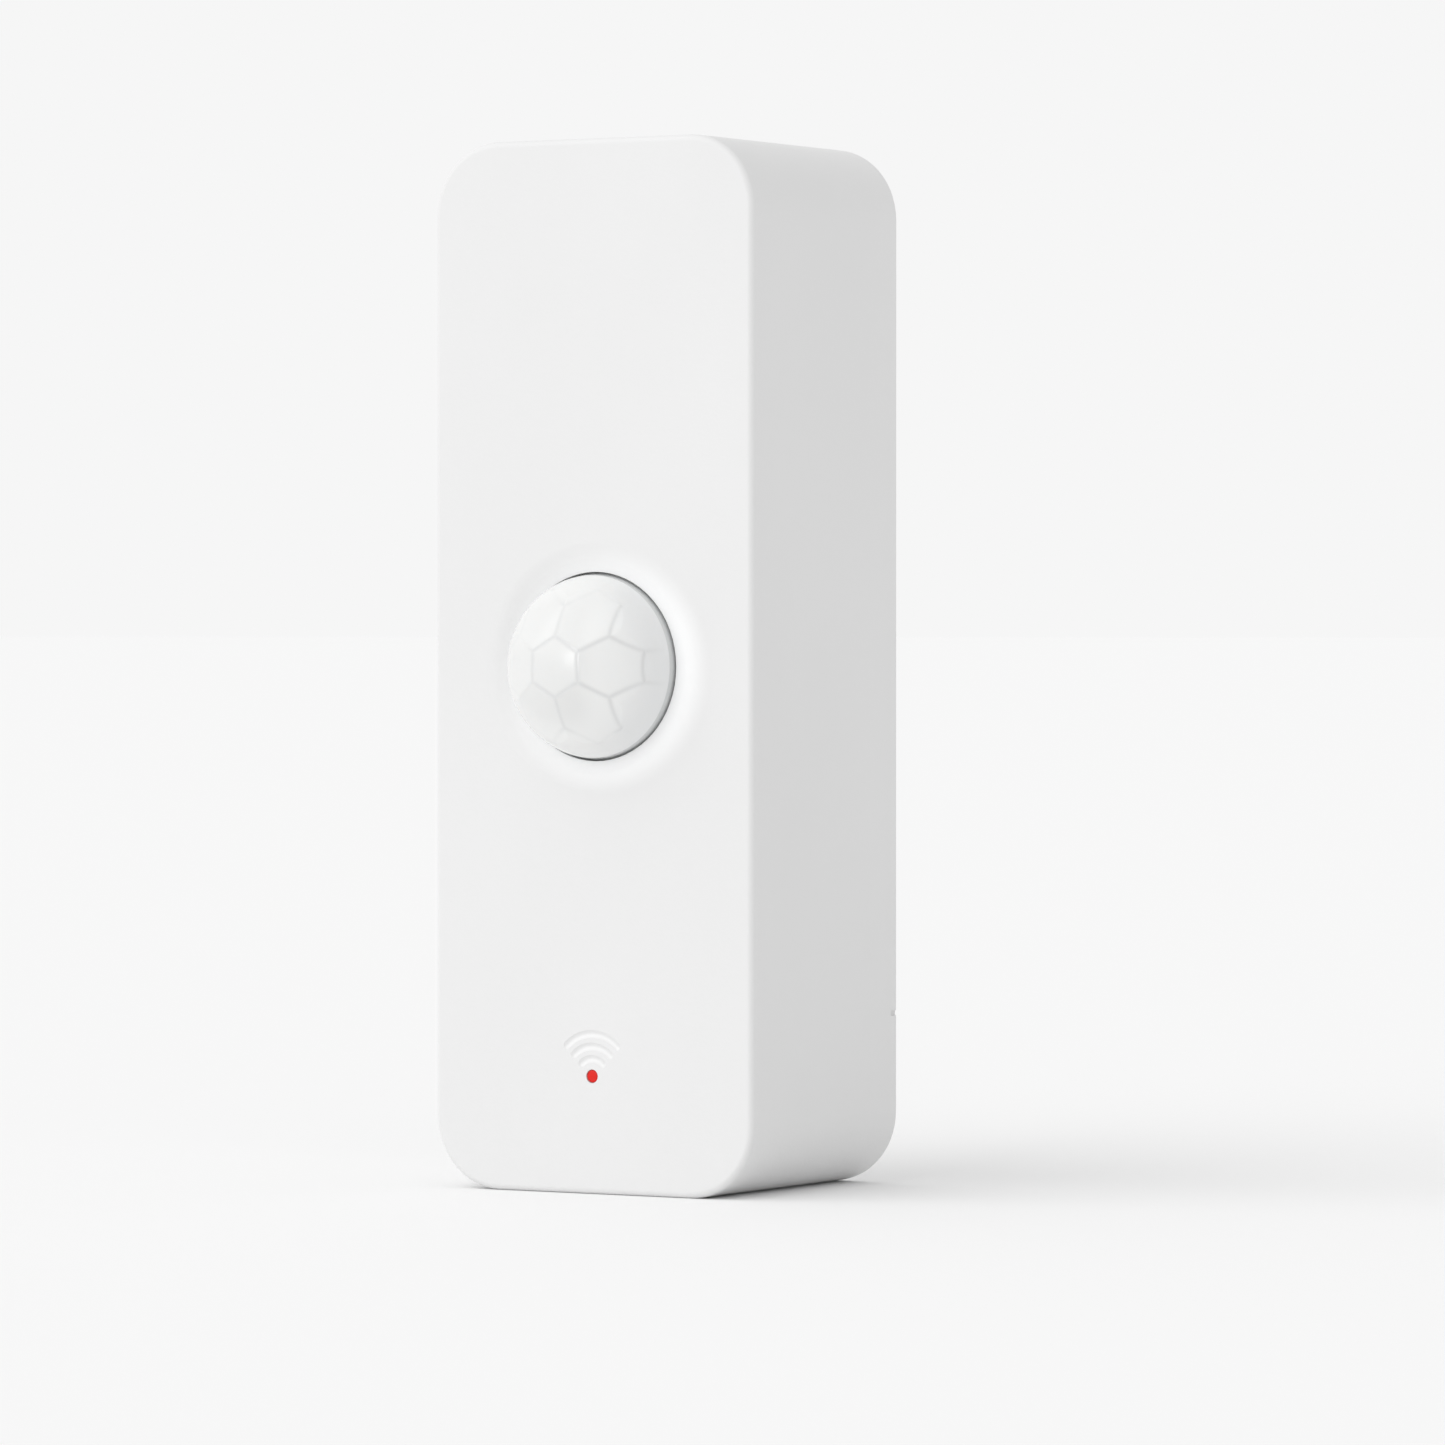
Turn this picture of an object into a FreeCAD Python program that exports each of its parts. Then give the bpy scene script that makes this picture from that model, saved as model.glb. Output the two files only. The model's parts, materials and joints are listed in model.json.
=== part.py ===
"""Battery-powered Wi-Fi motion sensor: a slim upright box with a faceted infrared lens dome.

Units are millimetres. +Z is up and the front faces -Y. The origin is the centre of the wall face of the
adhesive pad, level with the centre of the lens. Each function below makes one piece and is named after it.
"""

import FreeCAD
import Part
import math
import os

from FreeCAD import Vector

# Clearances and the reach of cutting shapes
FIT = 0.15  # clearance of a piece that drops into another
GAP = 0.02  # between pieces that rest on each other
OVER = 1.0  # how far a cutting shape runs past the surface it opens
LAP = 0.3  # how far joined blocks sink into each other
FAR = 40.0  # beyond the housing in every direction

# Housing envelope
WIDTH = 26.8
HEIGHT = 76.0
DEPTH = 21.0  # front face to the rear rim
CORNER_R = 5.3
WALL = 1.6
FRONT_EDGE_R = 0.45
BACK_EDGE_R = 0.3

# Adhesive pad, sunk a little into the rear cover
PAD_WIDTH = 19.0
PAD_HEIGHT = 34.0
PAD_T = 0.8
PAD_SINK = 0.3
PAD_CORNER_R = 1.5

# Rear cover, set into a rebate of the housing's rim
COVER_T = 1.2
COVER_SINK = 0.1
COVER_GAP = 0.1
COVER_EDGE_R = 0.2
REBATE_WALL = 1.0

# Pry mark: a short groove across the rear edge of the right side
PRY_Z = -25.5
PRY_LENGTH = 1.0
PRY_HEIGHT = 0.36
PRY_DEPTH = 0.2

# Planes across the depth
BACK_Y = PAD_SINK - PAD_T
COVER_Y = BACK_Y - COVER_SINK
LEDGE_Y = COVER_Y - COVER_T
FRONT_Y = BACK_Y - DEPTH
FRONT_IN_Y = FRONT_Y + WALL
HALF_W = WIDTH / 2
HALF_H = HEIGHT / 2
IN_HALF_W = HALF_W - WALL
IN_HALF_H = HALF_H - WALL
IN_CORNER_R = CORNER_R - WALL
COVER_INSET = REBATE_WALL + COVER_GAP
PAD_SEAT_Y = BACK_Y - PAD_SINK

# Lens dome, a little flatter than a half sphere, and its softly dished aperture
DOME_R = 6.65
DOME_H = 6.14
DOME_STEPS = 16
DOME_CENTRE_Y = FRONT_Y + 0.8
LENS_T = 0.5
SHOULDER_R = 6.77
APERTURE_R = 6.82
DISH_R = 8.3
DISH_DEPTH = 0.45
DISH_EDGE_R = 4.0
FLANGE_R = 8.4
FLANGE_T = 0.8
RETAINER_R = 8.0
RETAINER_BORE_R = 6.3
NEST_T = 0.8
NEST_H = 1.8
RETAINER_SLOT_WIDTH = 2.2
RETAINER_SLOT_DEPTH = 1.2
RETAINER_SLOT_ANGLES = (0, 60, 120)

# Status light and the engraved signal arcs above it
LED_Z = -29.5
LIGHT_PIPE_R = 0.46
LIGHT_HOLE_R = 0.49
LIGHT_PIPE_LENGTH = 4.3
LIGHT_PIPE_SINK = 0.03
LIGHT_COLLAR_R = 1.5
LIGHT_COLLAR_T = 0.8
ARC_RADII = (1.25, 2.15, 3.05)
ARC_WIDTH = 0.58
ARC_DEPTH = 0.1
ARC_HALF_ANGLE = 44.0

# Main board
BOARD_T = 1.0
BOARD_FRONT_Y = -15.6
BOARD_REAR_Y = BOARD_FRONT_Y + BOARD_T
BOARD_WIDTH = 23.0
BOARD_HEIGHT = 71.6
BOARD_CORNER_R = 3.3
BOARD_SCREWS = ((-9.2, 9.5), (9.2, 9.5), (0.0, -34.0))

# Screws and the posts that take them
POST_R = 1.7
PILOT_R = 0.85
PILOT_DEPTH = 6.0
WEB_T = 1.0
SCREW_R = 0.83
SCREW_HEAD_R = 1.7
SCREW_HEAD_H = 1.1
SCREW_LENGTH = 5.0
SCREW_HOLE_R = 1.05
SCREW_HEAD_ROUND = 0.45
CROSS_LENGTH = 1.9
CROSS_WIDTH = 0.42
CROSS_DEPTH = 0.6

# Chassis deck under the battery cover
DECK_Y = -3.6
DECK_T = 1.2
DECK_FRONT_Y = DECK_Y - DECK_T
CHASSIS_SCREWS = ((-9.4, 33.0), (9.4, 33.0), (-9.4, -33.0), (9.4, -33.0))

# Plus and minus marks engraved in the decks
TOP_MARK_Z = 31.5
LOW_MARK_Z = -24.5
MARK_LENGTH = 2.4
MARK_WIDTH = 0.5
MARK_DEPTH = 0.25

# AAA cells, side by side, and the bay that holds them
CELL_R = 5.25
CELL_LENGTH = 44.5
NUB_R = 1.9
NUB_H = 1.0
SLEEVE_MARGIN = 0.4
LABEL_T = 0.14
CAN_WALL = 0.25
CELL_RIM_R = 0.3
CELL_X = 5.5
CELL_Y = -7.25
BAY_TOP = 28.0
BAY_BOTTOM = -20.5
BAY_END_T = 1.0
BAY_HALF_WIDTH = 10.4
BAY_END_DROP = 0.6  # from the cover down to the top of the end walls
CRADLE_R = CELL_R + 0.1
CRADLE_FLOOR_Y = -13.6
CRADLE_LIP_Y = -9.5
CONTACT_T = 0.3
CONTACT_BUMP = 0.28
CONTACT_BUMP_R = (1.7, 1.1)
CONTACT_CORNER_R = 1.0
CONTACT_Y = (-11.8, -3.2)
CONTACT_X = (1.6, 9.4)
SPRING_WIRE_R = 0.25
SPRING_BASE_R = 3.3
SPRING_TIP_R = 2.0
SPRING_HALF_TURNS = 7
TAB_WIDTH = 2.0
TAB_TIP = 0.4  # how far a contact's tab stands out of the front of the board
SLOT_TOP_Y = -11.5

# Cover hinge: two hooks that turn about the cover's upper outer edge, in pockets of the top wall
HINGE_Y = COVER_Y
HINGE_Z = HALF_H - COVER_INSET
HOOK_R_IN = 1.9
HOOK_R_OUT = 2.6
HOOK_WIDTH = 3.0
HOOK_X = 5.0
HOOK_TIP_ANGLE = 170.0
HOOK_ROOT_ANGLE = 248.0
POCKET_GAP = 0.15
POCKET_ANGLES = (166.0, 220.0)

# Cover latch and its fingernail dip, at the lower end
LATCH_WIDTH = 8.0
LATCH_T = 0.9
LATCH_REACH = 1.5
NAIL_R = 5.2
NAIL_DEPTH = 0.6
NAIL_HEIGHT = 2.4
GRIP_LINES = 4
GRIP_Z = -32.2
GRIP_PITCH = 1.1
GRIP_HALF_LENGTH = 5.0
GRIP_WIDTH = 0.5
GRIP_DEPTH = 0.25

# Ribs that centre the cover in the housing
RIB_T = 0.6
RIB_REACH = 1.2
RIB_LENGTH = 9.0
RIB_FEET = (-24.0, -4.0, 16.0)

# Reset switch and its long pusher
RESET_Z = -23.7
RESET_TRAVEL = 0.3
PUSHER_R = 1.0
GUIDE_BORE_R = 1.08
GUIDE_R = 2.0
GUIDE_END_Y = -10.0
SWITCH_SIZE = 4.0
SWITCH_PLATE_T = 0.2
SWITCH_BASE_H = 1.2
SWITCH_FLOOR_T = 0.5
PLUNGER_R = 0.85
PLUNGER_FOOT_R = 1.2
PLUNGER_H = 0.6
PLUNGER_SPARE = 0.1  # left under the plunger when it is fully pressed
SWITCH_Y = BOARD_REAR_Y + GAP
PLUNGER_TOP_Y = SWITCH_Y + SWITCH_BASE_H + SWITCH_PLATE_T + PLUNGER_H
PUSHER_SINK = 0.4
PUSHER_COLLAR_R = 1.7
PUSHER_COLLAR_START = 0.9

# Infrared detector
PIR_FLANGE_R = 4.6
PIR_CAN_R = 4.15
PIR_SPACER_T = 1.0
PIR_HEADER_T = 1.1
PIR_HEADER_R = 3.8
PIR_WALL = 0.3
PIR_TOP_Y = -20.4
PIR_SEAT_Y = BOARD_FRONT_Y - PIR_SPACER_T - GAP
PIR_LEAD_R = 0.22
PIR_LEAD_CIRCLE_R = 2.54
PIR_LEAD_ANGLES = (45, 135, 270)
PIR_LEAD_TIP = 0.6
PIR_LEAD_GAP = 0.15
PIR_WINDOW = (3.6, 2.8)
PIR_WINDOW_T = 0.4
PIR_PLATE = (4.4, 2.8)
PIR_PLATE_T = 0.3
PIR_FOOT = (0.8, 2.0)
PIR_FOOT_H = 0.6
PIR_FOOT_X = 1.7

# Radio module
RADIO_WIDTH = 15.0
RADIO_Z = (10.8, 34.8)
RADIO_T = 0.8
RADIO_FRONT_Y = BOARD_FRONT_Y - RADIO_T - 2 * GAP
SHIELD_WIDTH = 13.2
SHIELD_Z = (11.8, 27.2)
SHIELD_H = 2.2
SHIELD_T = 0.2
SHIELD_CORNER_R = 0.6
RADIO_PADS = 8
RADIO_PAD_PITCH = 2.0
RADIO_PAD_R = 0.35
RADIO_CHIP = 5.0
RADIO_CHIP_T = 0.9
RADIO_CHIP_Z = 19.5
ANTENNA_TRACK = 0.5
ANTENNA_PITCH = 1.5
ANTENNA_RUNS = 8
ANTENNA_T = 0.08
ANTENNA_MARGIN = 1.2

# Chips on the front of the main board: centre, then width and height, then thickness
SENSOR_CHIP = ((-4.6, -14.6), (3.9, 4.9), 1.5)
SENSOR_CHIP_PINS = 4
REGULATOR_CHIP = ((4.8, -18.2), (1.7, 2.9), 1.1)
REGULATOR_CHIP_PINS = 3
INDUCTOR = ((4.8, -13.2), (4.0, 4.0), 0.8)
INDUCTOR_CORE_R = 1.9
INDUCTOR_CORE_T = 2.0
TANTALUM = ((-4.6, -25.0), (4.3, 3.2), 1.9)
TANTALUM_TAB = ((2.3, 0.0), (0.8, 2.2), 0.9)
CRYSTAL = ((4.9, -25.4), (3.2, 2.5), 0.75)
CRYSTAL_CORNER_R = 0.3
LED_BASE = ((0.0, LED_Z), (2.0, 1.25), 0.3)
LED_LENS = ((0.0, LED_Z), (1.4, 1.2), 0.85)
CHIP_SIZE = (1.6, 0.8)
CAPACITOR_T = 0.8
RESISTOR_T = 0.45
SIDE_CAPACITORS = 4
SIDE_CAPACITOR_X = 9.5
SIDE_CAPACITOR_PITCH = 1.8
LAMP_CAPACITOR = (-2.6, -31.6)
MIDDLE_RESISTORS = 6
MIDDLE_RESISTOR_PITCH = 1.6
LAMP_RESISTORS = ((2.8, -29.5), (2.8, -31.2), (-2.8, -29.5))
CHIP_TOP_Z = -12.0
LEG_T = 0.15
LEG_WIDTH = 0.4
LEG_RISE = 0.75
LEG_KNEE = 0.35
LEG_REACH = 0.9
LEG_ROOT = 0.2
CHIP_LIFT = 0.12


def box(x, y, z):
    """A block between two values along each axis."""
    size = [abs(pair[1] - pair[0]) for pair in (x, y, z)]
    return Part.makeBox(*size, Vector(min(x), min(y), min(z)))


def block_at(centre, size, y0, y1):
    """A block given by its centre and size across Y and its two planes."""
    x, z = centre
    width, height = size
    return box((x - width / 2, x + width / 2), (y0, y1), (z - height / 2, z + height / 2))


def rod(x, z, radius, y0, y1):
    """A cylinder along Y."""
    return Part.makeCylinder(radius, abs(y1 - y0), Vector(x, min(y0, y1), z), Vector(0, 1, 0))


def upright(x, y, radius, z0, z1):
    """A cylinder along Z."""
    return Part.makeCylinder(radius, abs(z1 - z0), Vector(x, y, min(z0, z1)), Vector(0, 0, 1))


def ring(x, z, outer, inner, y0, y1):
    """A tube along Y."""
    return rod(x, z, outer, y0, y1).cut(rod(x, z, inner, y0, y1))


def slab(width, height, radius, y0, y1, z=0.0):
    """A plate across Y with its four corners rounded."""
    a = width / 2 - radius
    b = height / 2 - radius
    k = radius / math.sqrt(2)
    w = width / 2
    h = height / 2

    def at(px, pz):
        return Vector(px, y0, z + pz)

    edges = [
        Part.makeLine(at(-a, -h), at(a, -h)),
        Part.Arc(at(a, -h), at(a + k, -b - k), at(w, -b)).toShape(),
        Part.makeLine(at(w, -b), at(w, b)),
        Part.Arc(at(w, b), at(a + k, b + k), at(a, h)).toShape(),
        Part.makeLine(at(a, h), at(-a, h)),
        Part.Arc(at(-a, h), at(-a - k, b + k), at(-w, b)).toShape(),
        Part.makeLine(at(-w, b), at(-w, -b)),
        Part.Arc(at(-w, -b), at(-a - k, -b - k), at(-a, -h)).toShape(),
    ]
    return Part.Face(Part.Wire(edges)).extrude(Vector(0, y1 - y0, 0))


def inset_slab(inset, y0, y1):
    """A plate across Y that follows the housing's outline at a distance inside it."""
    return slab(WIDTH - 2 * inset, HEIGHT - 2 * inset, CORNER_R - inset, y0, y1)


def flat_edges(shape, y):
    """The edges of a shape that lie in one plane across Y."""
    found = []
    for edge in shape.Edges:
        span = edge.BoundBox
        if abs(span.YMin - y) < 1e-4 and abs(span.YMax - y) < 1e-4:
            found.append(edge)
    return found


def fuse(shapes):
    """One clean solid from several that meet."""
    body = shapes[0]
    for other in shapes[1:]:
        body = body.fuse(other)
    return body.removeSplitter()


def group(shapes):
    """Separate solids kept in one node."""
    return Part.makeCompound(shapes)


def arc_groove(radius):
    """One engraved signal arc: a round-bottomed groove about the light's axis with ball ends."""
    ball_r = (ARC_WIDTH ** 2 / 4 + ARC_DEPTH ** 2) / (2 * ARC_DEPTH)
    y = FRONT_Y + ARC_DEPTH - ball_r
    turn = math.radians(ARC_HALF_ANGLE)
    band = Part.makeTorus(radius, ball_r, Vector(0, y, LED_Z), Vector(0, 1, 0))
    reach = FAR * math.sin(turn)
    rise = LED_Z + FAR * math.cos(turn)
    y0 = FRONT_Y - OVER
    corners = [Vector(0, y0, LED_Z), Vector(reach, y0, rise), Vector(-reach, y0, rise), Vector(0, y0, LED_Z)]
    wedge = Part.Face(Part.makePolygon(corners)).extrude(Vector(0, 2 * OVER, 0))
    ends = []
    for side in (-1, 1):
        centre = Vector(side * radius * math.sin(turn), y, LED_Z + radius * math.cos(turn))
        ends.append(Part.makeSphere(ball_r, centre))
    return band.common(wedge).fuse(ends)


def post(x, z, top_y):
    """A screw post standing on the inside of the front wall."""
    pilot_end = max(top_y - PILOT_DEPTH, FRONT_IN_Y + GAP)
    return rod(x, z, POST_R, FRONT_IN_Y - LAP, top_y).cut(rod(x, z, PILOT_R, pilot_end, top_y))


def dish():
    """The conical recess that leads from the front face down to the lens aperture."""
    spread = OVER * (DISH_R - APERTURE_R) / DISH_DEPTH
    start = Vector(0, FRONT_Y - OVER, 0)
    return Part.makeCone(DISH_R + spread, APERTURE_R, DISH_DEPTH + OVER, start, Vector(0, 1, 0))


def front_shell():
    """Housing: front wall, sides, rebated rear rim, posts, lens nest and hinge pockets."""
    outer = slab(WIDTH, HEIGHT, CORNER_R, FRONT_Y, BACK_Y)
    outer = outer.makeFillet(FRONT_EDGE_R, flat_edges(outer, FRONT_Y))
    outer = outer.makeFillet(BACK_EDGE_R, flat_edges(outer, BACK_Y))
    shell = outer.cut(inset_slab(WALL, FRONT_IN_Y, BACK_Y + OVER))
    shell = shell.cut(inset_slab(REBATE_WALL, LEDGE_Y, BACK_Y + OVER))
    shell = shell.cut(rod(0, 0, APERTURE_R, FRONT_Y - OVER, FRONT_IN_Y + OVER))
    shell = shell.cut(dish())
    rim = [e for e in flat_edges(shell, FRONT_Y) if abs(e.BoundBox.ZLength - 2 * DISH_R) < 1e-3]
    shell = shell.makeFillet(DISH_EDGE_R, rim)
    shell = shell.cut(rod(0, LED_Z, LIGHT_HOLE_R, FRONT_Y - OVER, FRONT_IN_Y + OVER))
    for radius in ARC_RADII:
        shell = shell.cut(arc_groove(radius))
    for side in (-1, 1):
        width = HOOK_WIDTH + 2 * POCKET_GAP
        radii = (HOOK_R_IN - POCKET_GAP, HOOK_R_OUT + POCKET_GAP)
        shell = shell.cut(hinge_sector(*radii, width, side * HOOK_X, *POCKET_ANGLES))
    pry_z = (PRY_Z - PRY_HEIGHT / 2, PRY_Z + PRY_HEIGHT / 2)
    shell = shell.cut(box((HALF_W - PRY_DEPTH, HALF_W + OVER), (BACK_Y - PRY_LENGTH, BACK_Y + OVER), pry_z))
    nest_r = FLANGE_R + FIT
    parts = [shell]
    parts.append(ring(0, 0, nest_r + NEST_T, nest_r, FRONT_IN_Y - LAP, FRONT_IN_Y + NEST_H))
    for x, z in BOARD_SCREWS:
        parts.append(post(x, z, BOARD_FRONT_Y))
    for x, z in CHASSIS_SCREWS:
        parts.append(post(x, z, DECK_FRONT_Y - GAP))
        side = math.copysign(1, x)
        web_x = (side * (abs(x) + POST_R - LAP), side * (IN_HALF_W + LAP))
        web_z = (z - WEB_T / 2, z + WEB_T / 2)
        parts.append(box(web_x, (FRONT_IN_Y - LAP, DECK_FRONT_Y - OVER), web_z))
    return fuse(parts)


def dome_form(radius, height, back_y):
    """A solid dome on a straight skirt, its elliptical outline turned about the lens axis."""
    outline = []
    for i in range(DOME_STEPS + 1):
        turn = math.pi / 2 * i / DOME_STEPS
        outline.append(Vector(radius * math.cos(turn), DOME_CENTRE_Y - height * math.sin(turn), 0))
    outline[-1].x = 0
    curve = Part.BSplineCurve()
    curve.interpolate(Points=outline, InitialTangent=Vector(0, -1, 0), FinalTangent=Vector(-1, 0, 0))
    edges = [
        curve.toShape(),
        Part.makeLine(outline[-1], Vector(0, back_y, 0)),
        Part.makeLine(Vector(0, back_y, 0), Vector(radius, back_y, 0)),
        Part.makeLine(Vector(radius, back_y, 0), outline[0]),
    ]
    return Part.Face(Part.Wire(edges)).revolve(Vector(), Vector(0, 1, 0), 360)


def lens_dome():
    """Thin moulded lens: a dome on a short skirt with a centring shoulder and a clamping flange."""
    flange_y = FRONT_IN_Y + FLANGE_T
    outside = fuse([
        dome_form(DOME_R, DOME_H, flange_y),
        rod(0, 0, SHOULDER_R, DOME_CENTRE_Y, flange_y),
        rod(0, 0, FLANGE_R, FRONT_IN_Y + GAP, flange_y),
    ])
    return outside.cut(dome_form(DOME_R - LENS_T, DOME_H - LENS_T, flange_y))


def lens_retainer():
    """Ring between the lens flange and the board, notched where the board carries parts close by."""
    y0 = FRONT_IN_Y + FLANGE_T + GAP
    y1 = BOARD_FRONT_Y - GAP
    body = ring(0, 0, RETAINER_R, RETAINER_BORE_R, y0, y1)
    half = RETAINER_SLOT_WIDTH / 2
    for angle in RETAINER_SLOT_ANGLES:
        slot = box((-FAR, FAR), (y1 - RETAINER_SLOT_DEPTH, y1 + OVER), (-half, half))
        slot.rotate(Vector(0, 0, 0), Vector(0, 1, 0), angle)
        body = body.cut(slot)
    return body


def light_pipe():
    """Red rod that carries the status light to the front face, with a collar behind the wall."""
    tip_y = FRONT_Y + LIGHT_PIPE_SINK
    pipe = rod(0, LED_Z, LIGHT_PIPE_R, tip_y, tip_y + LIGHT_PIPE_LENGTH)
    pipe = pipe.makeFillet(LIGHT_PIPE_R / 4, flat_edges(pipe, tip_y))
    collar = rod(0, LED_Z, LIGHT_COLLAR_R, FRONT_IN_Y + GAP, FRONT_IN_Y + LIGHT_COLLAR_T)
    return fuse([pipe, collar])


def hinge_sector(r_in, r_out, width, x, start, end):
    """A ring sector about the hinge line. Angles are measured from +Y towards +Z."""
    centre = Vector(x - width / 2, HINGE_Y, HINGE_Z)
    along = Vector(1, 0, 0)
    turned = FreeCAD.Rotation(along, start)
    section = end - start
    outer = Part.makeCylinder(r_out, width, Vector(), Vector(0, 0, 1), section)
    inner = Part.makeCylinder(r_in, width, Vector(), Vector(0, 0, 1), section)
    sector = outer.cut(inner)
    upright_to_line = FreeCAD.Rotation(Vector(0, 1, 0), Vector(0, 0, 1), Vector(1, 0, 0), "XYZ")
    sector.Placement = FreeCAD.Placement(centre, turned.multiply(upright_to_line))
    return sector


def rear_cover():
    """Rear cover: plate, hinge hooks, side ribs, latch tongue, nail dip, grip lines and the pad's recess."""
    plate = inset_slab(COVER_INSET, LEDGE_Y + GAP, COVER_Y)
    plate = plate.makeFillet(COVER_EDGE_R, flat_edges(plate, COVER_Y))
    plate = plate.cut(slab(PAD_WIDTH + 2 * FIT, PAD_HEIGHT + 2 * FIT, PAD_CORNER_R, PAD_SEAT_Y, OVER))
    for i in range(GRIP_LINES):
        z = GRIP_Z + GRIP_PITCH * i
        line_x = (-GRIP_HALF_LENGTH, GRIP_HALF_LENGTH)
        line_z = (z - GRIP_WIDTH / 2, z + GRIP_WIDTH / 2)
        plate = plate.cut(box(line_x, (COVER_Y - GRIP_DEPTH, OVER), line_z))
    low = -HALF_H + COVER_INSET
    nail = upright(0, COVER_Y + NAIL_R - NAIL_DEPTH, NAIL_R, low - OVER, low + NAIL_HEIGHT)
    parts = [plate.cut(nail)]
    root_y = LEDGE_Y + LAP
    for side in (-1, 1):
        hook = hinge_sector(HOOK_R_IN, HOOK_R_OUT, HOOK_WIDTH, side * HOOK_X, HOOK_TIP_ANGLE, HOOK_ROOT_ANGLE)
        parts.append(hook.common(box((-FAR, FAR), (-FAR, root_y), (0, FAR))))
        rib_x = (side * (IN_HALF_W - FIT - RIB_T), side * (IN_HALF_W - FIT))
        for z in RIB_FEET:
            parts.append(box(rib_x, (LEDGE_Y - RIB_REACH, root_y), (z, z + RIB_LENGTH)))
    latch_z = -IN_HALF_H + FIT
    half = LATCH_WIDTH / 2
    parts.append(box((-half, half), (LEDGE_Y - LATCH_REACH, root_y), (latch_z, latch_z + LATCH_T)))
    return fuse(parts)


def adhesive_pad():
    """Double-sided foam pad; its outer face is the wall face."""
    return slab(PAD_WIDTH, PAD_HEIGHT, PAD_CORNER_R, PAD_SEAT_Y + GAP, 0.0)


def polarity_mark(x, z, positive):
    """A plus or minus engraved in the deck beside a cell."""
    depth = (DECK_Y - MARK_DEPTH, DECK_Y + OVER)
    a = MARK_LENGTH / 2
    b = MARK_WIDTH / 2
    mark = box((x - a, x + a), depth, (z - b, z + b))
    if positive:
        mark = mark.fuse(box((x - b, x + b), depth, (z - a, z + a)))
    return mark


def tab_slot(x, y, z):
    """The slot that a contact's tab passes through, with clearance to each side."""
    half = TAB_WIDTH / 2 + FIT
    return box((x - half, x + half), y, z)


def rear_chassis():
    """Inner moulding: cell cradle, end walls, upper and lower decks and the reset guide."""
    across = (-FAR, FAR)
    deck = inset_slab(WALL + FIT, DECK_FRONT_Y, DECK_Y)
    top_deck = deck.common(box(across, across, (BAY_TOP, FAR)))
    low_deck = deck.common(box(across, across, (-FAR, BAY_BOTTOM)))
    bay = (BAY_BOTTOM - BAY_END_T, BAY_TOP + BAY_END_T)
    cradle = box((-IN_HALF_W + FIT, IN_HALF_W - FIT), (CRADLE_FLOOR_Y, CRADLE_LIP_Y), bay)
    for x in (-CELL_X, CELL_X):
        cradle = cradle.cut(upright(x, CELL_Y, CRADLE_R, BAY_BOTTOM, BAY_TOP))
    wall_x = (-BAY_HALF_WIDTH, BAY_HALF_WIDTH)
    wall_y = (CRADLE_FLOOR_Y, LEDGE_Y - BAY_END_DROP)
    top_wall = box(wall_x, wall_y, (BAY_TOP, BAY_TOP + BAY_END_T))
    low_wall = box(wall_x, wall_y, (BAY_BOTTOM - BAY_END_T, BAY_BOTTOM))
    guide = rod(0, RESET_Z, GUIDE_R, GUIDE_END_Y, DECK_Y)
    body = fuse([cradle, top_wall, low_wall, top_deck, low_deck, guide])
    body = body.cut(rod(0, RESET_Z, GUIDE_BORE_R, GUIDE_END_Y - OVER, OVER))
    for x, z in CHASSIS_SCREWS:
        body = body.cut(rod(x, z, SCREW_HOLE_R, DECK_FRONT_Y - OVER, DECK_Y + OVER))
    head_y = BOARD_REAR_Y + SCREW_HEAD_H + FIT
    for x, z in BOARD_SCREWS:
        body = body.cut(rod(x, z, SCREW_HEAD_R + LAP, CRADLE_FLOOR_Y - OVER, head_y))
    seat_x = (-CONTACT_X[1] - FIT, CONTACT_X[1] + FIT)
    seat_y = (CONTACT_Y[0] - FIT, CONTACT_Y[1])
    seat_depth = CONTACT_T + FIT
    body = body.cut(box(seat_x, seat_y, (BAY_TOP - seat_depth, BAY_TOP)))
    body = body.cut(box(seat_x, seat_y, (BAY_BOTTOM, BAY_BOTTOM + seat_depth)))
    for x in (-CELL_X, CELL_X):
        slot_y = (CRADLE_FLOOR_Y - OVER, SLOT_TOP_Y)
        body = body.cut(tab_slot(x, slot_y, (BAY_BOTTOM, BAY_BOTTOM + seat_depth)))
        body = body.cut(polarity_mark(x, TOP_MARK_Z, x < 0))
        body = body.cut(polarity_mark(x, LOW_MARK_Z, x > 0))
    return body


def main_board():
    """Circuit board with clearance for posts, screws, detector leads and contact tabs."""
    board = slab(BOARD_WIDTH, BOARD_HEIGHT, BOARD_CORNER_R, BOARD_FRONT_Y, BOARD_REAR_Y)
    through = (BOARD_FRONT_Y - OVER, BOARD_REAR_Y + OVER)
    for x, z in BOARD_SCREWS:
        board = board.cut(rod(x, z, SCREW_HOLE_R, *through))
    room = POST_R + 2 * FIT
    for x, z in CHASSIS_SCREWS:
        right = math.copysign(1, x)
        up = math.copysign(1, z)
        board = board.cut(rod(x, z, room, *through))
        board = board.cut(box((x - right * room, right * FAR), through, (z, up * FAR)))
        board = board.cut(box((x, right * FAR), through, (z - up * room, up * FAR)))
    for x, z in lead_places():
        board = board.cut(rod(x, z, PIR_LEAD_R + PIR_LEAD_GAP, *through))
    for x in (-CELL_X, CELL_X):
        board = board.cut(tab_slot(x, through, (BAY_BOTTOM - FIT, BAY_BOTTOM + CONTACT_T + FIT)))
    return board


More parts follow.
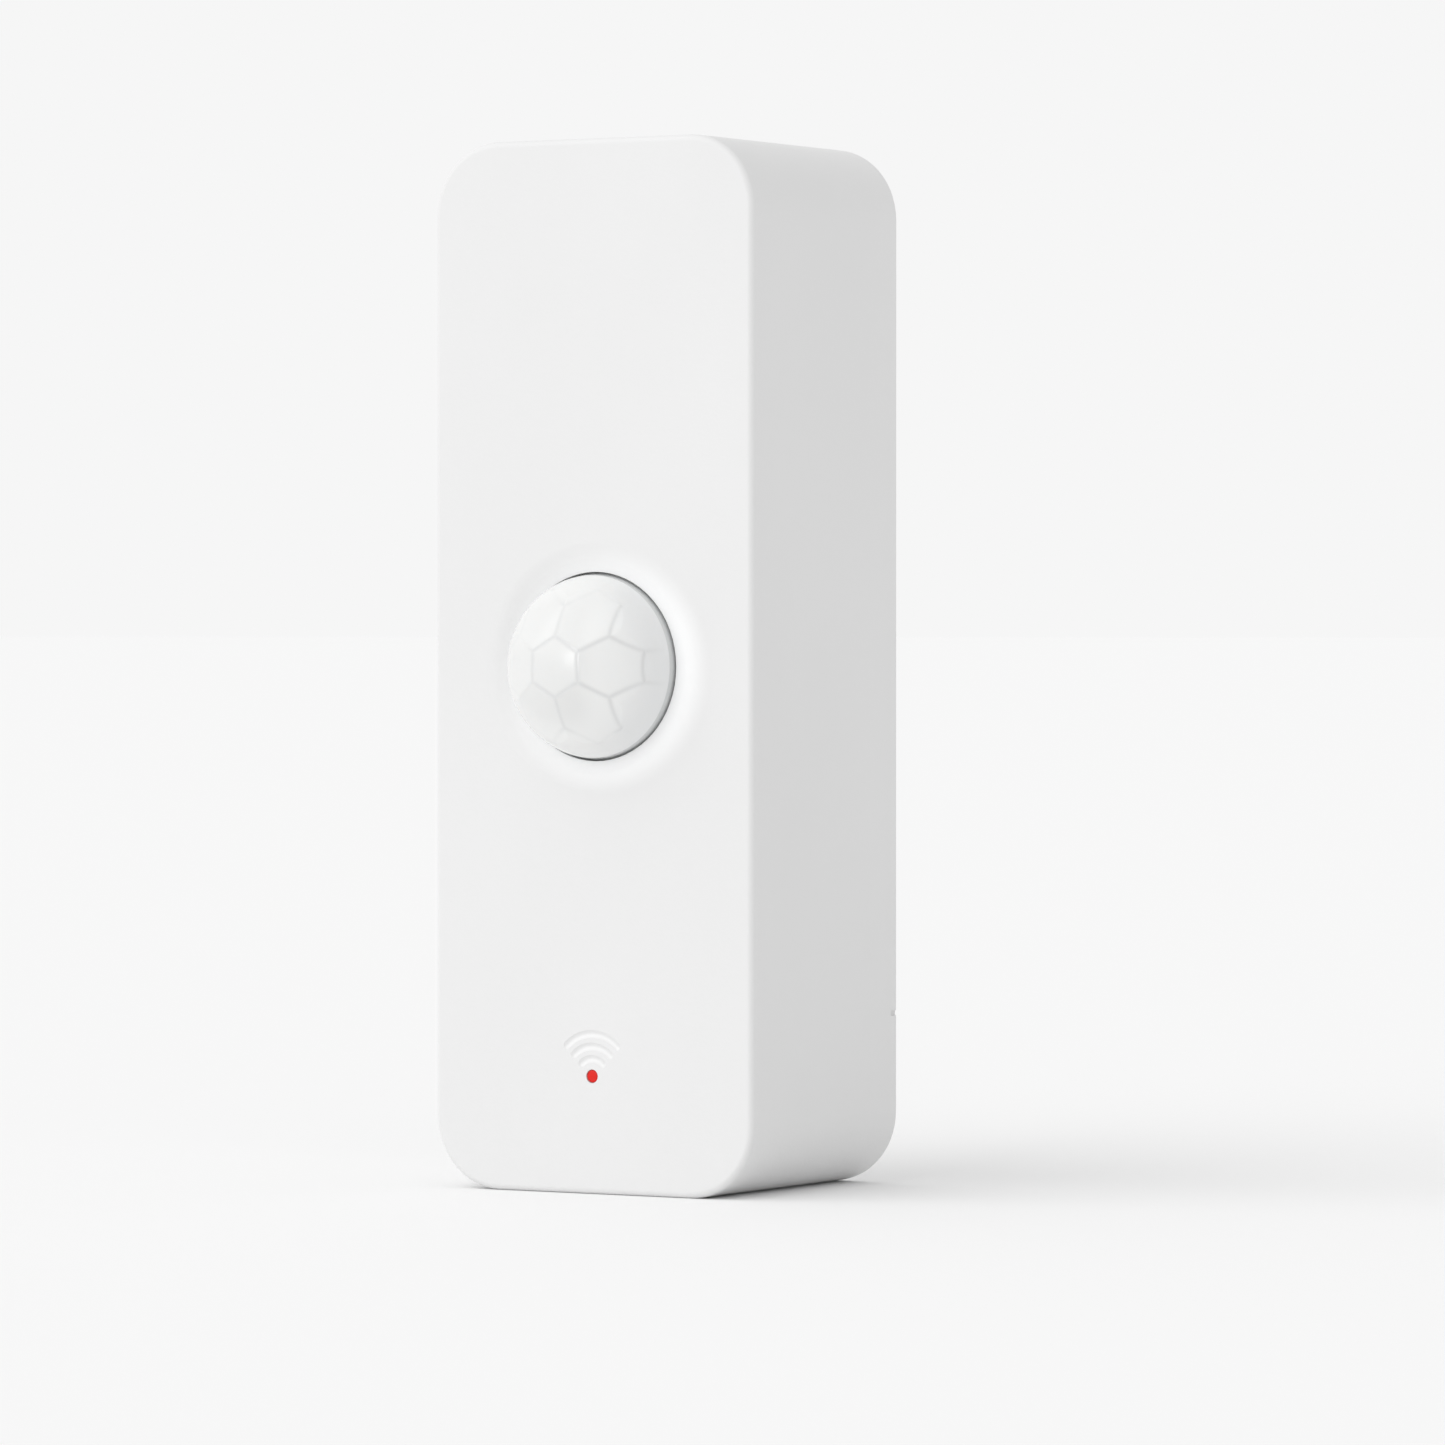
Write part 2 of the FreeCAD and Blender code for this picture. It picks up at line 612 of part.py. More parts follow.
def screw(x, z, seat_y):
    """A cross-recessed screw driven towards the front, its head on a seat."""
    top_y = seat_y + SCREW_HEAD_H
    shank = rod(x, z, SCREW_R, seat_y - SCREW_LENGTH, seat_y + LAP)
    head = rod(x, z, SCREW_HEAD_R, seat_y + GAP, top_y)
    head = head.makeFillet(SCREW_HEAD_ROUND, flat_edges(head, top_y))
    body = fuse([shank, head])
    depth = (top_y - CROSS_DEPTH, top_y + OVER)
    for length, width in ((CROSS_LENGTH, CROSS_WIDTH), (CROSS_WIDTH, CROSS_LENGTH)):
        body = body.cut(box((x - length / 2, x + length / 2), depth, (z - width / 2, z + width / 2)))
    return body


def board_screws():
    """The screws that hold the board to the front shell."""
    return group([screw(x, z, BOARD_REAR_Y) for x, z in BOARD_SCREWS])


def chassis_screws():
    """The screws that hold the chassis to the front shell."""
    return group([screw(x, z, DECK_Y) for x, z in CHASSIS_SCREWS])


def lead_places():
    """X and Z of the detector's three leads, on their circle."""
    places = []
    for angle in PIR_LEAD_ANGLES:
        turn = math.radians(angle)
        places.append((PIR_LEAD_CIRCLE_R * math.cos(turn), PIR_LEAD_CIRCLE_R * math.sin(turn)))
    return places


def pir_spacer():
    """Plastic washer under the detector, bored for its leads."""
    body = rod(0, 0, PIR_CAN_R, BOARD_FRONT_Y - PIR_SPACER_T, BOARD_FRONT_Y - GAP)
    for x, z in lead_places():
        bore_y = (BOARD_FRONT_Y - PIR_SPACER_T - OVER, BOARD_FRONT_Y + OVER)
        body = body.cut(rod(x, z, PIR_LEAD_R + PIR_LEAD_GAP, *bore_y))
    return body


def pir_header():
    """Detector base with its three leads."""
    base = rod(0, 0, PIR_HEADER_R, PIR_SEAT_Y - PIR_HEADER_T, PIR_SEAT_Y)
    tip_y = BOARD_REAR_Y + PIR_LEAD_TIP
    leads = [rod(x, z, PIR_LEAD_R, PIR_SEAT_Y - LAP, tip_y) for x, z in lead_places()]
    return fuse([base] + leads)


def pir_can():
    """Detector cap: a flanged metal cup with a rectangular window opening."""
    flange = rod(0, 0, PIR_FLANGE_R, PIR_SEAT_Y - PIR_WALL, PIR_SEAT_Y)
    cup = rod(0, 0, PIR_CAN_R, PIR_TOP_Y, PIR_SEAT_Y)
    cup = cup.makeFillet(PIR_WALL, flat_edges(cup, PIR_TOP_Y))
    hollow = rod(0, 0, PIR_CAN_R - PIR_WALL, PIR_TOP_Y + PIR_WALL, PIR_SEAT_Y)
    opening = slab(*PIR_WINDOW, PIR_WALL, PIR_TOP_Y - OVER, PIR_TOP_Y + OVER)
    return fuse([flange, cup]).cut(hollow).cut(opening)


def pir_window():
    """Dark infrared filter behind the can's opening."""
    y0 = PIR_TOP_Y + PIR_WALL + GAP
    width = PIR_WINDOW[0] + OVER
    height = PIR_WINDOW[1] + OVER
    return slab(width, height, PIR_WALL, y0, y0 + PIR_WINDOW_T)


def pir_element():
    """Sensing plate on two small blocks above the detector's base."""
    base_y = PIR_SEAT_Y - PIR_HEADER_T
    plate_y = base_y - PIR_FOOT_H
    parts = [block_at((0.0, 0.0), PIR_PLATE, plate_y - PIR_PLATE_T, plate_y)]
    for x in (-PIR_FOOT_X, PIR_FOOT_X):
        parts.append(block_at((x, 0.0), PIR_FOOT, plate_y, base_y - GAP))
    return fuse(parts)


def wifi_board():
    """Radio module's own board, with half-round solder pads down both sides."""
    y1 = BOARD_FRONT_Y - GAP
    board = box((-RADIO_WIDTH / 2, RADIO_WIDTH / 2), (y1 - RADIO_T, y1), RADIO_Z)
    first = RADIO_Z[0] + RADIO_PAD_PITCH
    for i in range(RADIO_PADS):
        for x in (-RADIO_WIDTH / 2, RADIO_WIDTH / 2):
            pad = rod(x, first + RADIO_PAD_PITCH * i, RADIO_PAD_R, y1 - RADIO_T - OVER, y1 + OVER)
            board = board.cut(pad)
    return board


def wifi_shield():
    """Pressed metal lid over the radio's chips."""
    half = SHIELD_WIDTH / 2
    top_y = RADIO_FRONT_Y - SHIELD_H
    lid = box((-half, half), (top_y, RADIO_FRONT_Y), SHIELD_Z)
    corners = [e for e in lid.Edges if e.BoundBox.YLength > SHIELD_H - GAP]
    lid = lid.makeFillet(SHIELD_CORNER_R, corners)
    in_x = (-half + SHIELD_T, half - SHIELD_T)
    in_z = (SHIELD_Z[0] + SHIELD_T, SHIELD_Z[1] - SHIELD_T)
    return lid.cut(box(in_x, (top_y + SHIELD_T, RADIO_FRONT_Y), in_z))


def wifi_chip():
    """Radio chip under the shield."""
    size = (RADIO_CHIP, RADIO_CHIP)
    return block_at((0.0, RADIO_CHIP_Z), size, RADIO_FRONT_Y - RADIO_CHIP_T, RADIO_FRONT_Y)


def wifi_antenna():
    """Meandering copper antenna on the module's upper end."""
    y = (RADIO_FRONT_Y - ANTENNA_T, RADIO_FRONT_Y)
    half = ANTENNA_TRACK / 2
    low = SHIELD_Z[1] + ANTENNA_MARGIN
    high = RADIO_Z[1] - ANTENNA_MARGIN
    start = -ANTENNA_PITCH * (ANTENNA_RUNS - 1) / 2
    parts = []
    for i in range(ANTENNA_RUNS):
        x = start + ANTENNA_PITCH * i
        parts.append(box((x - half, x + half), y, (low, high)))
        if i < ANTENNA_RUNS - 1:
            link_z = (high - ANTENNA_TRACK, high) if i % 2 else (low, low + ANTENNA_TRACK)
            parts.append(box((x - half, x + ANTENNA_PITCH + half), y, link_z))
    return fuse(parts)


def on_board(centre, size, thickness):
    """A block soldered to the front of the main board."""
    y1 = BOARD_FRONT_Y - GAP
    return block_at(centre, size, y1 - thickness, y1)


def status_led():
    """Surface-mount light behind the light pipe."""
    return fuse([on_board(*LED_BASE), on_board(*LED_LENS)])


def leaded_chip(centre, size, thickness, pins):
    """A small outline chip with bent legs along its two long sides."""
    x, z = centre
    width, height = size
    y1 = BOARD_FRONT_Y - GAP
    parts = [block_at(centre, size, y1 - thickness, y1 - CHIP_LIFT)]
    pitch = height / pins
    for i in range(pins):
        pin_z = z - height / 2 + pitch * (i + 0.5)
        span = (pin_z - LEG_WIDTH / 2, pin_z + LEG_WIDTH / 2)
        for side in (-1, 1):
            root = x + side * (width / 2 - LEG_ROOT)
            knee = x + side * (width / 2 + LEG_KNEE)
            bend = knee + side * LEG_T
            tip = x + side * (width / 2 + LEG_REACH)
            parts.append(box((root, bend), (y1 - LEG_RISE, y1 - LEG_RISE + LEG_T), span))
            parts.append(box((knee, bend), (y1 - LEG_RISE, y1), span))
            parts.append(box((knee, tip), (y1 - LEG_T, y1), span))
    return fuse(parts)


def sensor_chip():
    """Detector amplifier and control chip."""
    return leaded_chip(*SENSOR_CHIP, SENSOR_CHIP_PINS)


def regulator_chip():
    """Voltage regulator."""
    return leaded_chip(*REGULATOR_CHIP, REGULATOR_CHIP_PINS)


def boost_inductor():
    """Power inductor: a ferrite block with a round wound core."""
    x, z = INDUCTOR[0]
    core = rod(x, z, INDUCTOR_CORE_R, BOARD_FRONT_Y - INDUCTOR_CORE_T, BOARD_FRONT_Y - LAP)
    return fuse([on_board(*INDUCTOR), core])


def tantalum_capacitor():
    """Reservoir capacitor for the radio's bursts."""
    x, z = TANTALUM[0]
    offset, tab_size, tab_t = TANTALUM_TAB
    tabs = [on_board((x + side * offset[0], z), tab_size, tab_t) for side in (-1, 1)]
    return fuse([on_board(*TANTALUM)] + tabs)


def crystal():
    """Clock crystal in its metal-lidded case."""
    case = on_board(*CRYSTAL)
    corners = [e for e in case.Edges if e.BoundBox.YLength > CRYSTAL[2] - GAP]
    return case.makeFillet(CRYSTAL_CORNER_R, corners)


def ceramic_capacitors():
    """Ceramic chip capacitors, one solid each."""
    places = [LAMP_CAPACITOR]
    for i in range(SIDE_CAPACITORS):
        for x in (-SIDE_CAPACITOR_X, SIDE_CAPACITOR_X):
            places.append((x, CHIP_TOP_Z - SIDE_CAPACITOR_PITCH * i))
    return group([on_board(place, CHIP_SIZE, CAPACITOR_T) for place in places])


def chip_resistors():
    """Chip resistors, one solid each."""
    places = list(LAMP_RESISTORS)
    for i in range(MIDDLE_RESISTORS):
        places.append((0.0, CHIP_TOP_Z - MIDDLE_RESISTOR_PITCH * i))
    return group([on_board(place, CHIP_SIZE, RESISTOR_T) for place in places])


def reset_switch_body():
    """Base of the reset switch, on the rear of the board, hollowed for its plunger."""
    top_y = SWITCH_Y + SWITCH_BASE_H
    base = block_at((0.0, RESET_Z), (SWITCH_SIZE, SWITCH_SIZE), SWITCH_Y, top_y)
    return base.cut(rod(0, RESET_Z, PLUNGER_FOOT_R + FIT, SWITCH_Y + SWITCH_FLOOR_T, top_y + OVER))


def reset_switch_cover():
    """Metal plate that holds the switch together."""
    y0 = SWITCH_Y + SWITCH_BASE_H + GAP
    plate = block_at((0.0, RESET_Z), (SWITCH_SIZE, SWITCH_SIZE), y0, y0 + SWITCH_PLATE_T)
    return plate.cut(rod(0, RESET_Z, PLUNGER_R + FIT / 2, y0 - OVER, y0 + OVER))


def reset_switch_plunger():
    """Moving button of the switch."""
    y0 = SWITCH_Y + SWITCH_FLOOR_T + RESET_TRAVEL + PLUNGER_SPARE
    foot = rod(0, RESET_Z, PLUNGER_FOOT_R, y0, SWITCH_Y + SWITCH_BASE_H - 2 * GAP)
    return fuse([foot, rod(0, RESET_Z, PLUNGER_R, y0, PLUNGER_TOP_Y)])


def reset_pusher():
    """Long pin through the chassis that reaches the switch, with a collar that keeps it in."""
    y0 = PLUNGER_TOP_Y + GAP
    end_y = DECK_Y - PUSHER_SINK
    pin = rod(0, RESET_Z, PUSHER_R, y0, end_y)
    pin = pin.makeFillet(PUSHER_R / 4, flat_edges(pin, end_y))
    collar = rod(0, RESET_Z, PUSHER_COLLAR_R, y0 + PUSHER_COLLAR_START, GUIDE_END_Y - FIT)
    return fuse([pin, collar])


def contact_plate(x0, x1, wall_z, facing):
    """A flat contact against an end wall. Facing is +1 or -1 along Z, towards the cells."""
    plate = box((x0, x1), CONTACT_Y, (wall_z + facing * GAP, wall_z + facing * CONTACT_T))
    corners = [e for e in plate.Edges if e.BoundBox.ZLength > CONTACT_T / 2 and e.BoundBox.YLength < GAP]
    return plate.makeFillet(CONTACT_CORNER_R, corners)


def contact_bump(x, wall_z, facing):
    """The raised dimple that meets a cell's positive nub."""
    base = Vector(x, CELL_Y, wall_z + facing * (CONTACT_T - GAP))
    return Part.makeCone(*CONTACT_BUMP_R, CONTACT_BUMP, base, Vector(0, 0, facing))


def solder_tab(x):
    """The leg of a contact that reaches down into the board."""
    half = TAB_WIDTH / 2
    z = (BAY_BOTTOM + GAP, BAY_BOTTOM + CONTACT_T)
    return box((x - half, x + half), (BOARD_FRONT_Y - TAB_TIP, CONTACT_Y[0] + CONTACT_CORNER_R), z)


def bridge_contact():
    """Upper contact that joins the two cells in series."""
    plate = contact_plate(-CONTACT_X[1], CONTACT_X[1], BAY_TOP, -1)
    return fuse([plate, contact_bump(-CELL_X, BAY_TOP, -1)])


def negative_contact():
    """Lower plate under the left cell's spring, with its solder tab."""
    return fuse([contact_plate(-CONTACT_X[1], -CONTACT_X[0], BAY_BOTTOM, 1), solder_tab(-CELL_X)])


def positive_contact():
    """Lower plate that meets the right cell's nub, with its solder tab."""
    plate = contact_plate(*CONTACT_X, BAY_BOTTOM, 1)
    return fuse([plate, contact_bump(CELL_X, BAY_BOTTOM, 1), solder_tab(CELL_X)])


def cone_spring(x, z, facing, length):
    """A tapering coil of half turns, wide end at z, pressed to the given length along facing Z."""
    rise = length - 2 * SPRING_WIRE_R
    ends = []
    for i in range(SPRING_HALF_TURNS + 1):
        part = i / SPRING_HALF_TURNS
        radius = SPRING_BASE_R + (SPRING_TIP_R - SPRING_BASE_R) * part
        side = -1 if i % 2 else 1
        ends.append(Vector(x + side * radius, CELL_Y, z + facing * (SPRING_WIRE_R + rise * part)))
    arcs = []
    for i in range(SPRING_HALF_TURNS):
        span = ends[i + 1] - ends[i]
        bulge = span.Length / 2 * (-1 if i % 2 else 1)
        middle = (ends[i] + ends[i + 1]) / 2 + Vector(0, bulge, 0)
        arcs.append(Part.Arc(ends[i], middle, ends[i + 1]).toShape())
    circle = Part.makeCircle(SPRING_WIRE_R, ends[0], Vector(0, 1, 0))
    return Part.Wire(arcs).makePipeShell([Part.Wire(circle)], True, False)


def spring_length():
    """Room between a spring's plate and its cell's flat end."""
    return (BAY_TOP - BAY_BOTTOM) - 2 * CONTACT_T - CONTACT_BUMP - CELL_LENGTH


def bridge_spring():
    """Spring on the bridge contact, against the right cell's flat end."""
    z = BAY_TOP - CONTACT_T - GAP
    return cone_spring(CELL_X, z, -1, spring_length() - 2 * GAP)


def negative_spring():
    """Spring on the negative contact, against the left cell's flat end."""
    z = BAY_BOTTOM + CONTACT_T + GAP
    return cone_spring(-CELL_X, z, 1, spring_length() - 2 * GAP)


def cell_form(x, nub_z, facing, inset):
    """An AAA cell's bare form drawn in by a distance. Facing is the way along Z that the nub points."""
    shoulder = nub_z - facing * (NUB_H + inset)
    end = nub_z - facing * (CELL_LENGTH - inset)
    can = upright(x, CELL_Y, CELL_R - LABEL_T - GAP - inset, shoulder, end)
    nub = upright(x, CELL_Y, NUB_R - inset, shoulder - facing * LAP, nub_z - facing * inset)
    return fuse([can, nub])


def cell_can(x, nub_z, facing):
    """Steel can of an AAA cell, with its nub."""
    form = cell_form(x, nub_z, facing, 0)
    rims = []
    for edge in form.Edges:
        span = edge.BoundBox
        is_wide = span.XLength > CELL_R
        is_tip = abs(span.ZMin - nub_z) < GAP
        if span.ZLength < GAP and (is_wide or is_tip):
            rims.append(edge)
    form = form.makeFillet(CELL_RIM_R, rims)
    return form.cut(cell_form(x, nub_z, facing, CAN_WALL))


def cell_core(x, nub_z, facing):
    """Filling of an AAA cell."""
    return cell_form(x, nub_z, facing, CAN_WALL + GAP)


def cell_label(x, nub_z, facing):
    """The printed sleeve round a cell."""
    top = nub_z - facing * (NUB_H + SLEEVE_MARGIN)
    low = nub_z - facing * (CELL_LENGTH - SLEEVE_MARGIN)
    tube = upright(x, CELL_Y, CELL_R, top, low)
    return tube.cut(upright(x, CELL_Y, CELL_R - LABEL_T, top, low))


def left_nub_z():
    """Height of the left cell's nub, which points up."""
    return BAY_TOP - CONTACT_T - CONTACT_BUMP - GAP


def right_nub_z():
    """Height of the right cell's nub, which points down."""
    return BAY_BOTTOM + CONTACT_T + CONTACT_BUMP + GAP


PIECES = {
    "front_shell": front_shell,
    "lens_dome": lens_dome,
    "lens_retainer": lens_retainer,
    "light_pipe": light_pipe,
    "rear_chassis": rear_chassis,
    "rear_cover": rear_cover,
    "adhesive_pad": adhesive_pad,
    "main_board": main_board,
    "board_screws": board_screws,
    "chassis_screws": chassis_screws,
    "pir_spacer": pir_spacer,
    "pir_header": pir_header,
    "pir_can": pir_can,
    "pir_window": pir_window,
    "pir_element": pir_element,
    "wifi_board": wifi_board,
    "wifi_shield": wifi_shield,
    "wifi_chip": wifi_chip,
    "wifi_antenna": wifi_antenna,
    "status_led": status_led,
    "sensor_chip": sensor_chip,
    "regulator_chip": regulator_chip,
    "boost_inductor": boost_inductor,
    "tantalum_capacitor": tantalum_capacitor,
    "crystal": crystal,
    "ceramic_capacitors": ceramic_capacitors,
    "chip_resistors": chip_resistors,
    "reset_switch_body": reset_switch_body,
    "reset_switch_cover": reset_switch_cover,
    "reset_switch_plunger": reset_switch_plunger,
    "reset_pusher": reset_pusher,
    "bridge_contact": bridge_contact,
    "negative_contact": negative_contact,
    "positive_contact": positive_contact,
    "bridge_spring": bridge_spring,
    "negative_spring": negative_spring,
    "left_cell_can": lambda: cell_can(-CELL_X, left_nub_z(), 1),
    "left_cell_core": lambda: cell_core(-CELL_X, left_nub_z(), 1),
    "left_cell_label": lambda: cell_label(-CELL_X, left_nub_z(), 1),
    "right_cell_can": lambda: cell_can(CELL_X, right_nub_z(), -1),
    "right_cell_core": lambda: cell_core(CELL_X, right_nub_z(), -1),
    "right_cell_label": lambda: cell_label(CELL_X, right_nub_z(), -1),
}


def main():
    """Writes one STEP file per piece."""
    os.makedirs("parts", exist_ok=True)
    for name, make in PIECES.items():
        shape = make()
        shape.exportStep(os.path.join("parts", name + ".step"))
        print(name, len(shape.Solids), "solids", round(shape.Volume, 2), "mm3", shape.isValid())


main()
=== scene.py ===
"""Looks of the battery-powered motion sensor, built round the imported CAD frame.

Units are metres in the CAD frame: +Z is up, the front faces -Y, and the wall is at y = 0.
"""

import json
import math

import bpy
import numpy as np
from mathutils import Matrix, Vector
from mathutils.kdtree import KDTree


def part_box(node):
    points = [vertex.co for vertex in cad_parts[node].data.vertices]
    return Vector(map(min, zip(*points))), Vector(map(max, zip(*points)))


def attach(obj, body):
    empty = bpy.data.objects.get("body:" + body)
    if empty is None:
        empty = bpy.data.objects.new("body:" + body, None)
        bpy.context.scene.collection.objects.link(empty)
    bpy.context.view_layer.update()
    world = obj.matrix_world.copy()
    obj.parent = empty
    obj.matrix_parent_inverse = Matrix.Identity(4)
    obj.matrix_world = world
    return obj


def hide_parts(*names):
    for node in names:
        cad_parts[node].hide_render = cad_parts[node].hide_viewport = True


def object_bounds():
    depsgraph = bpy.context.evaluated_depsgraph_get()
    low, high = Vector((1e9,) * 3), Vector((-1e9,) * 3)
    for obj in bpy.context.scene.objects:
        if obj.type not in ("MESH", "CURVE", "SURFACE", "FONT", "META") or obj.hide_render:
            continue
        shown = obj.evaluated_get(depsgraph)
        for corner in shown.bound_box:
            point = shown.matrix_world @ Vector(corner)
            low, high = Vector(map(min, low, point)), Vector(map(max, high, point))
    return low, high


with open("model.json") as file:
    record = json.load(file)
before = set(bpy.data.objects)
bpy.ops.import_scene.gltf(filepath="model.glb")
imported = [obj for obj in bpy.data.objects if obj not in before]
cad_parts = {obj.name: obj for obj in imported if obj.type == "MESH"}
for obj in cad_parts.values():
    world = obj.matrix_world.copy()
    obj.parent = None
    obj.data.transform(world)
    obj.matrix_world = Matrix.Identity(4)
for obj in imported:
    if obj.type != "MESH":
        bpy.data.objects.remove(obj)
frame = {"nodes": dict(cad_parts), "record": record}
cad_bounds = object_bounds()
MM = 0.001


# ---------------------------------------------------------------- camera, light and floor

YAW = math.radians(30.8)  # how far the camera stands round to the sensor's right
PITCH = math.radians(0.73)  # how far it looks down
DISTANCE = 0.539  # from the camera to the point it looks at
LENS_MM = 183.5
SENSOR_MM = 36.0
AIM_RIGHT = 4.02 * MM  # from the middle of the housing's depth to that point
AIM_UP = -4.14 * MM
NEAR_CLIP = 0.01
FAR_CLIP = 100.0
BACKGROUND = 0.922  # brightness of the surroundings as the camera sees them
SURROUND = 0.785  # and as a light
FLOOR_ALBEDO = 0.907
FLOOR_REACH = 30.0
SUNS = {  # strength, spread and the direction the light comes from
    "softbox": (0.93, math.radians(70), Vector((-0.62, -1.0, 0.95))),
    "fill": (0.17, math.radians(12), Vector((-0.30, -0.95, 0.10))),
    "rim": (0.24, math.radians(80), Vector((-0.70, 0.22, 0.70))),
}


def make_camera():
    """A long lens, a little to the sensor's right and almost level with it."""
    low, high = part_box("front_shell")
    level = math.cos(PITCH)
    ahead = Vector((-math.sin(YAW) * level, math.cos(YAW) * level, -math.sin(PITCH)))
    right = Vector((math.cos(YAW), math.sin(YAW), 0.0))
    aim = Vector((0.0, (low[1] + high[1]) / 2, 0.0)) + right * AIM_RIGHT + Vector((0.0, 0.0, AIM_UP))
    data = bpy.data.cameras.new("camera")
    data.lens = LENS_MM
    data.sensor_width = SENSOR_MM
    data.clip_start = NEAR_CLIP
    data.clip_end = FAR_CLIP
    camera = bpy.data.objects.new("camera", data)
    camera.location = aim - ahead * DISTANCE
    camera.rotation_euler = (math.radians(90) - PITCH, 0.0, YAW)
    bpy.context.scene.collection.objects.link(camera)
    bpy.context.scene.camera = camera


def make_light():
    """Even surroundings, seen and felt at different strengths, and three soft suns."""
    world = bpy.data.worlds.new("studio")
    world.use_nodes = True
    bpy.context.scene.world = world
    nodes = world.node_tree.nodes
    links = world.node_tree.links
    glow = nodes["Background"]
    glow.inputs["Color"].default_value = (1.0, 1.0, 1.0, 1.0)
    glow.inputs["Strength"].default_value = SURROUND
    seen = nodes.new("ShaderNodeBackground")
    seen.inputs["Color"].default_value = (1.0, 1.0, 1.0, 1.0)
    seen.inputs["Strength"].default_value = BACKGROUND
    path = nodes.new("ShaderNodeLightPath")
    mix = nodes.new("ShaderNodeMixShader")
    links.new(path.outputs["Is Camera Ray"], mix.inputs[0])
    links.new(glow.outputs[0], mix.inputs[1])
    links.new(seen.outputs[0], mix.inputs[2])
    links.new(mix.outputs[0], nodes["World Output"].inputs["Surface"])

    for name, (strength, spread, source) in SUNS.items():
        data = bpy.data.lights.new(name, "SUN")
        data.energy = strength
        data.angle = spread
        sun = bpy.data.objects.new(name, data)
        sun.rotation_euler = source.to_track_quat("Z", "Y").to_euler()
        bpy.context.scene.collection.objects.link(sun)


def make_floor():
    """A wide matte floor under the sensor."""
    z = cad_bounds[0][2]
    corners = [(x * FLOOR_REACH, y * FLOOR_REACH, z) for x, y in ((-1, -1), (1, -1), (1, 1), (-1, 1))]
    mesh = bpy.data.meshes.new("floor")
    mesh.from_pydata(corners, [], [(0, 1, 2, 3)])
    floor = bpy.data.objects.new("floor", mesh)
    bpy.context.scene.collection.objects.link(floor)
    mat = bpy.data.materials.new("floor")
    mat.use_nodes = True
    shader = mat.node_tree.nodes["Principled BSDF"]
    shader.inputs["Base Color"].default_value = (FLOOR_ALBEDO, FLOOR_ALBEDO, FLOOR_ALBEDO, 1.0)
    shader.inputs["Roughness"].default_value = 1.0
    shader.inputs["Specular IOR Level"].default_value = 0.0
    mesh.materials.append(mat)


# ---------------------------------------------------------------- material building blocks


EVEN = (1.0, 1.0, 1.0)


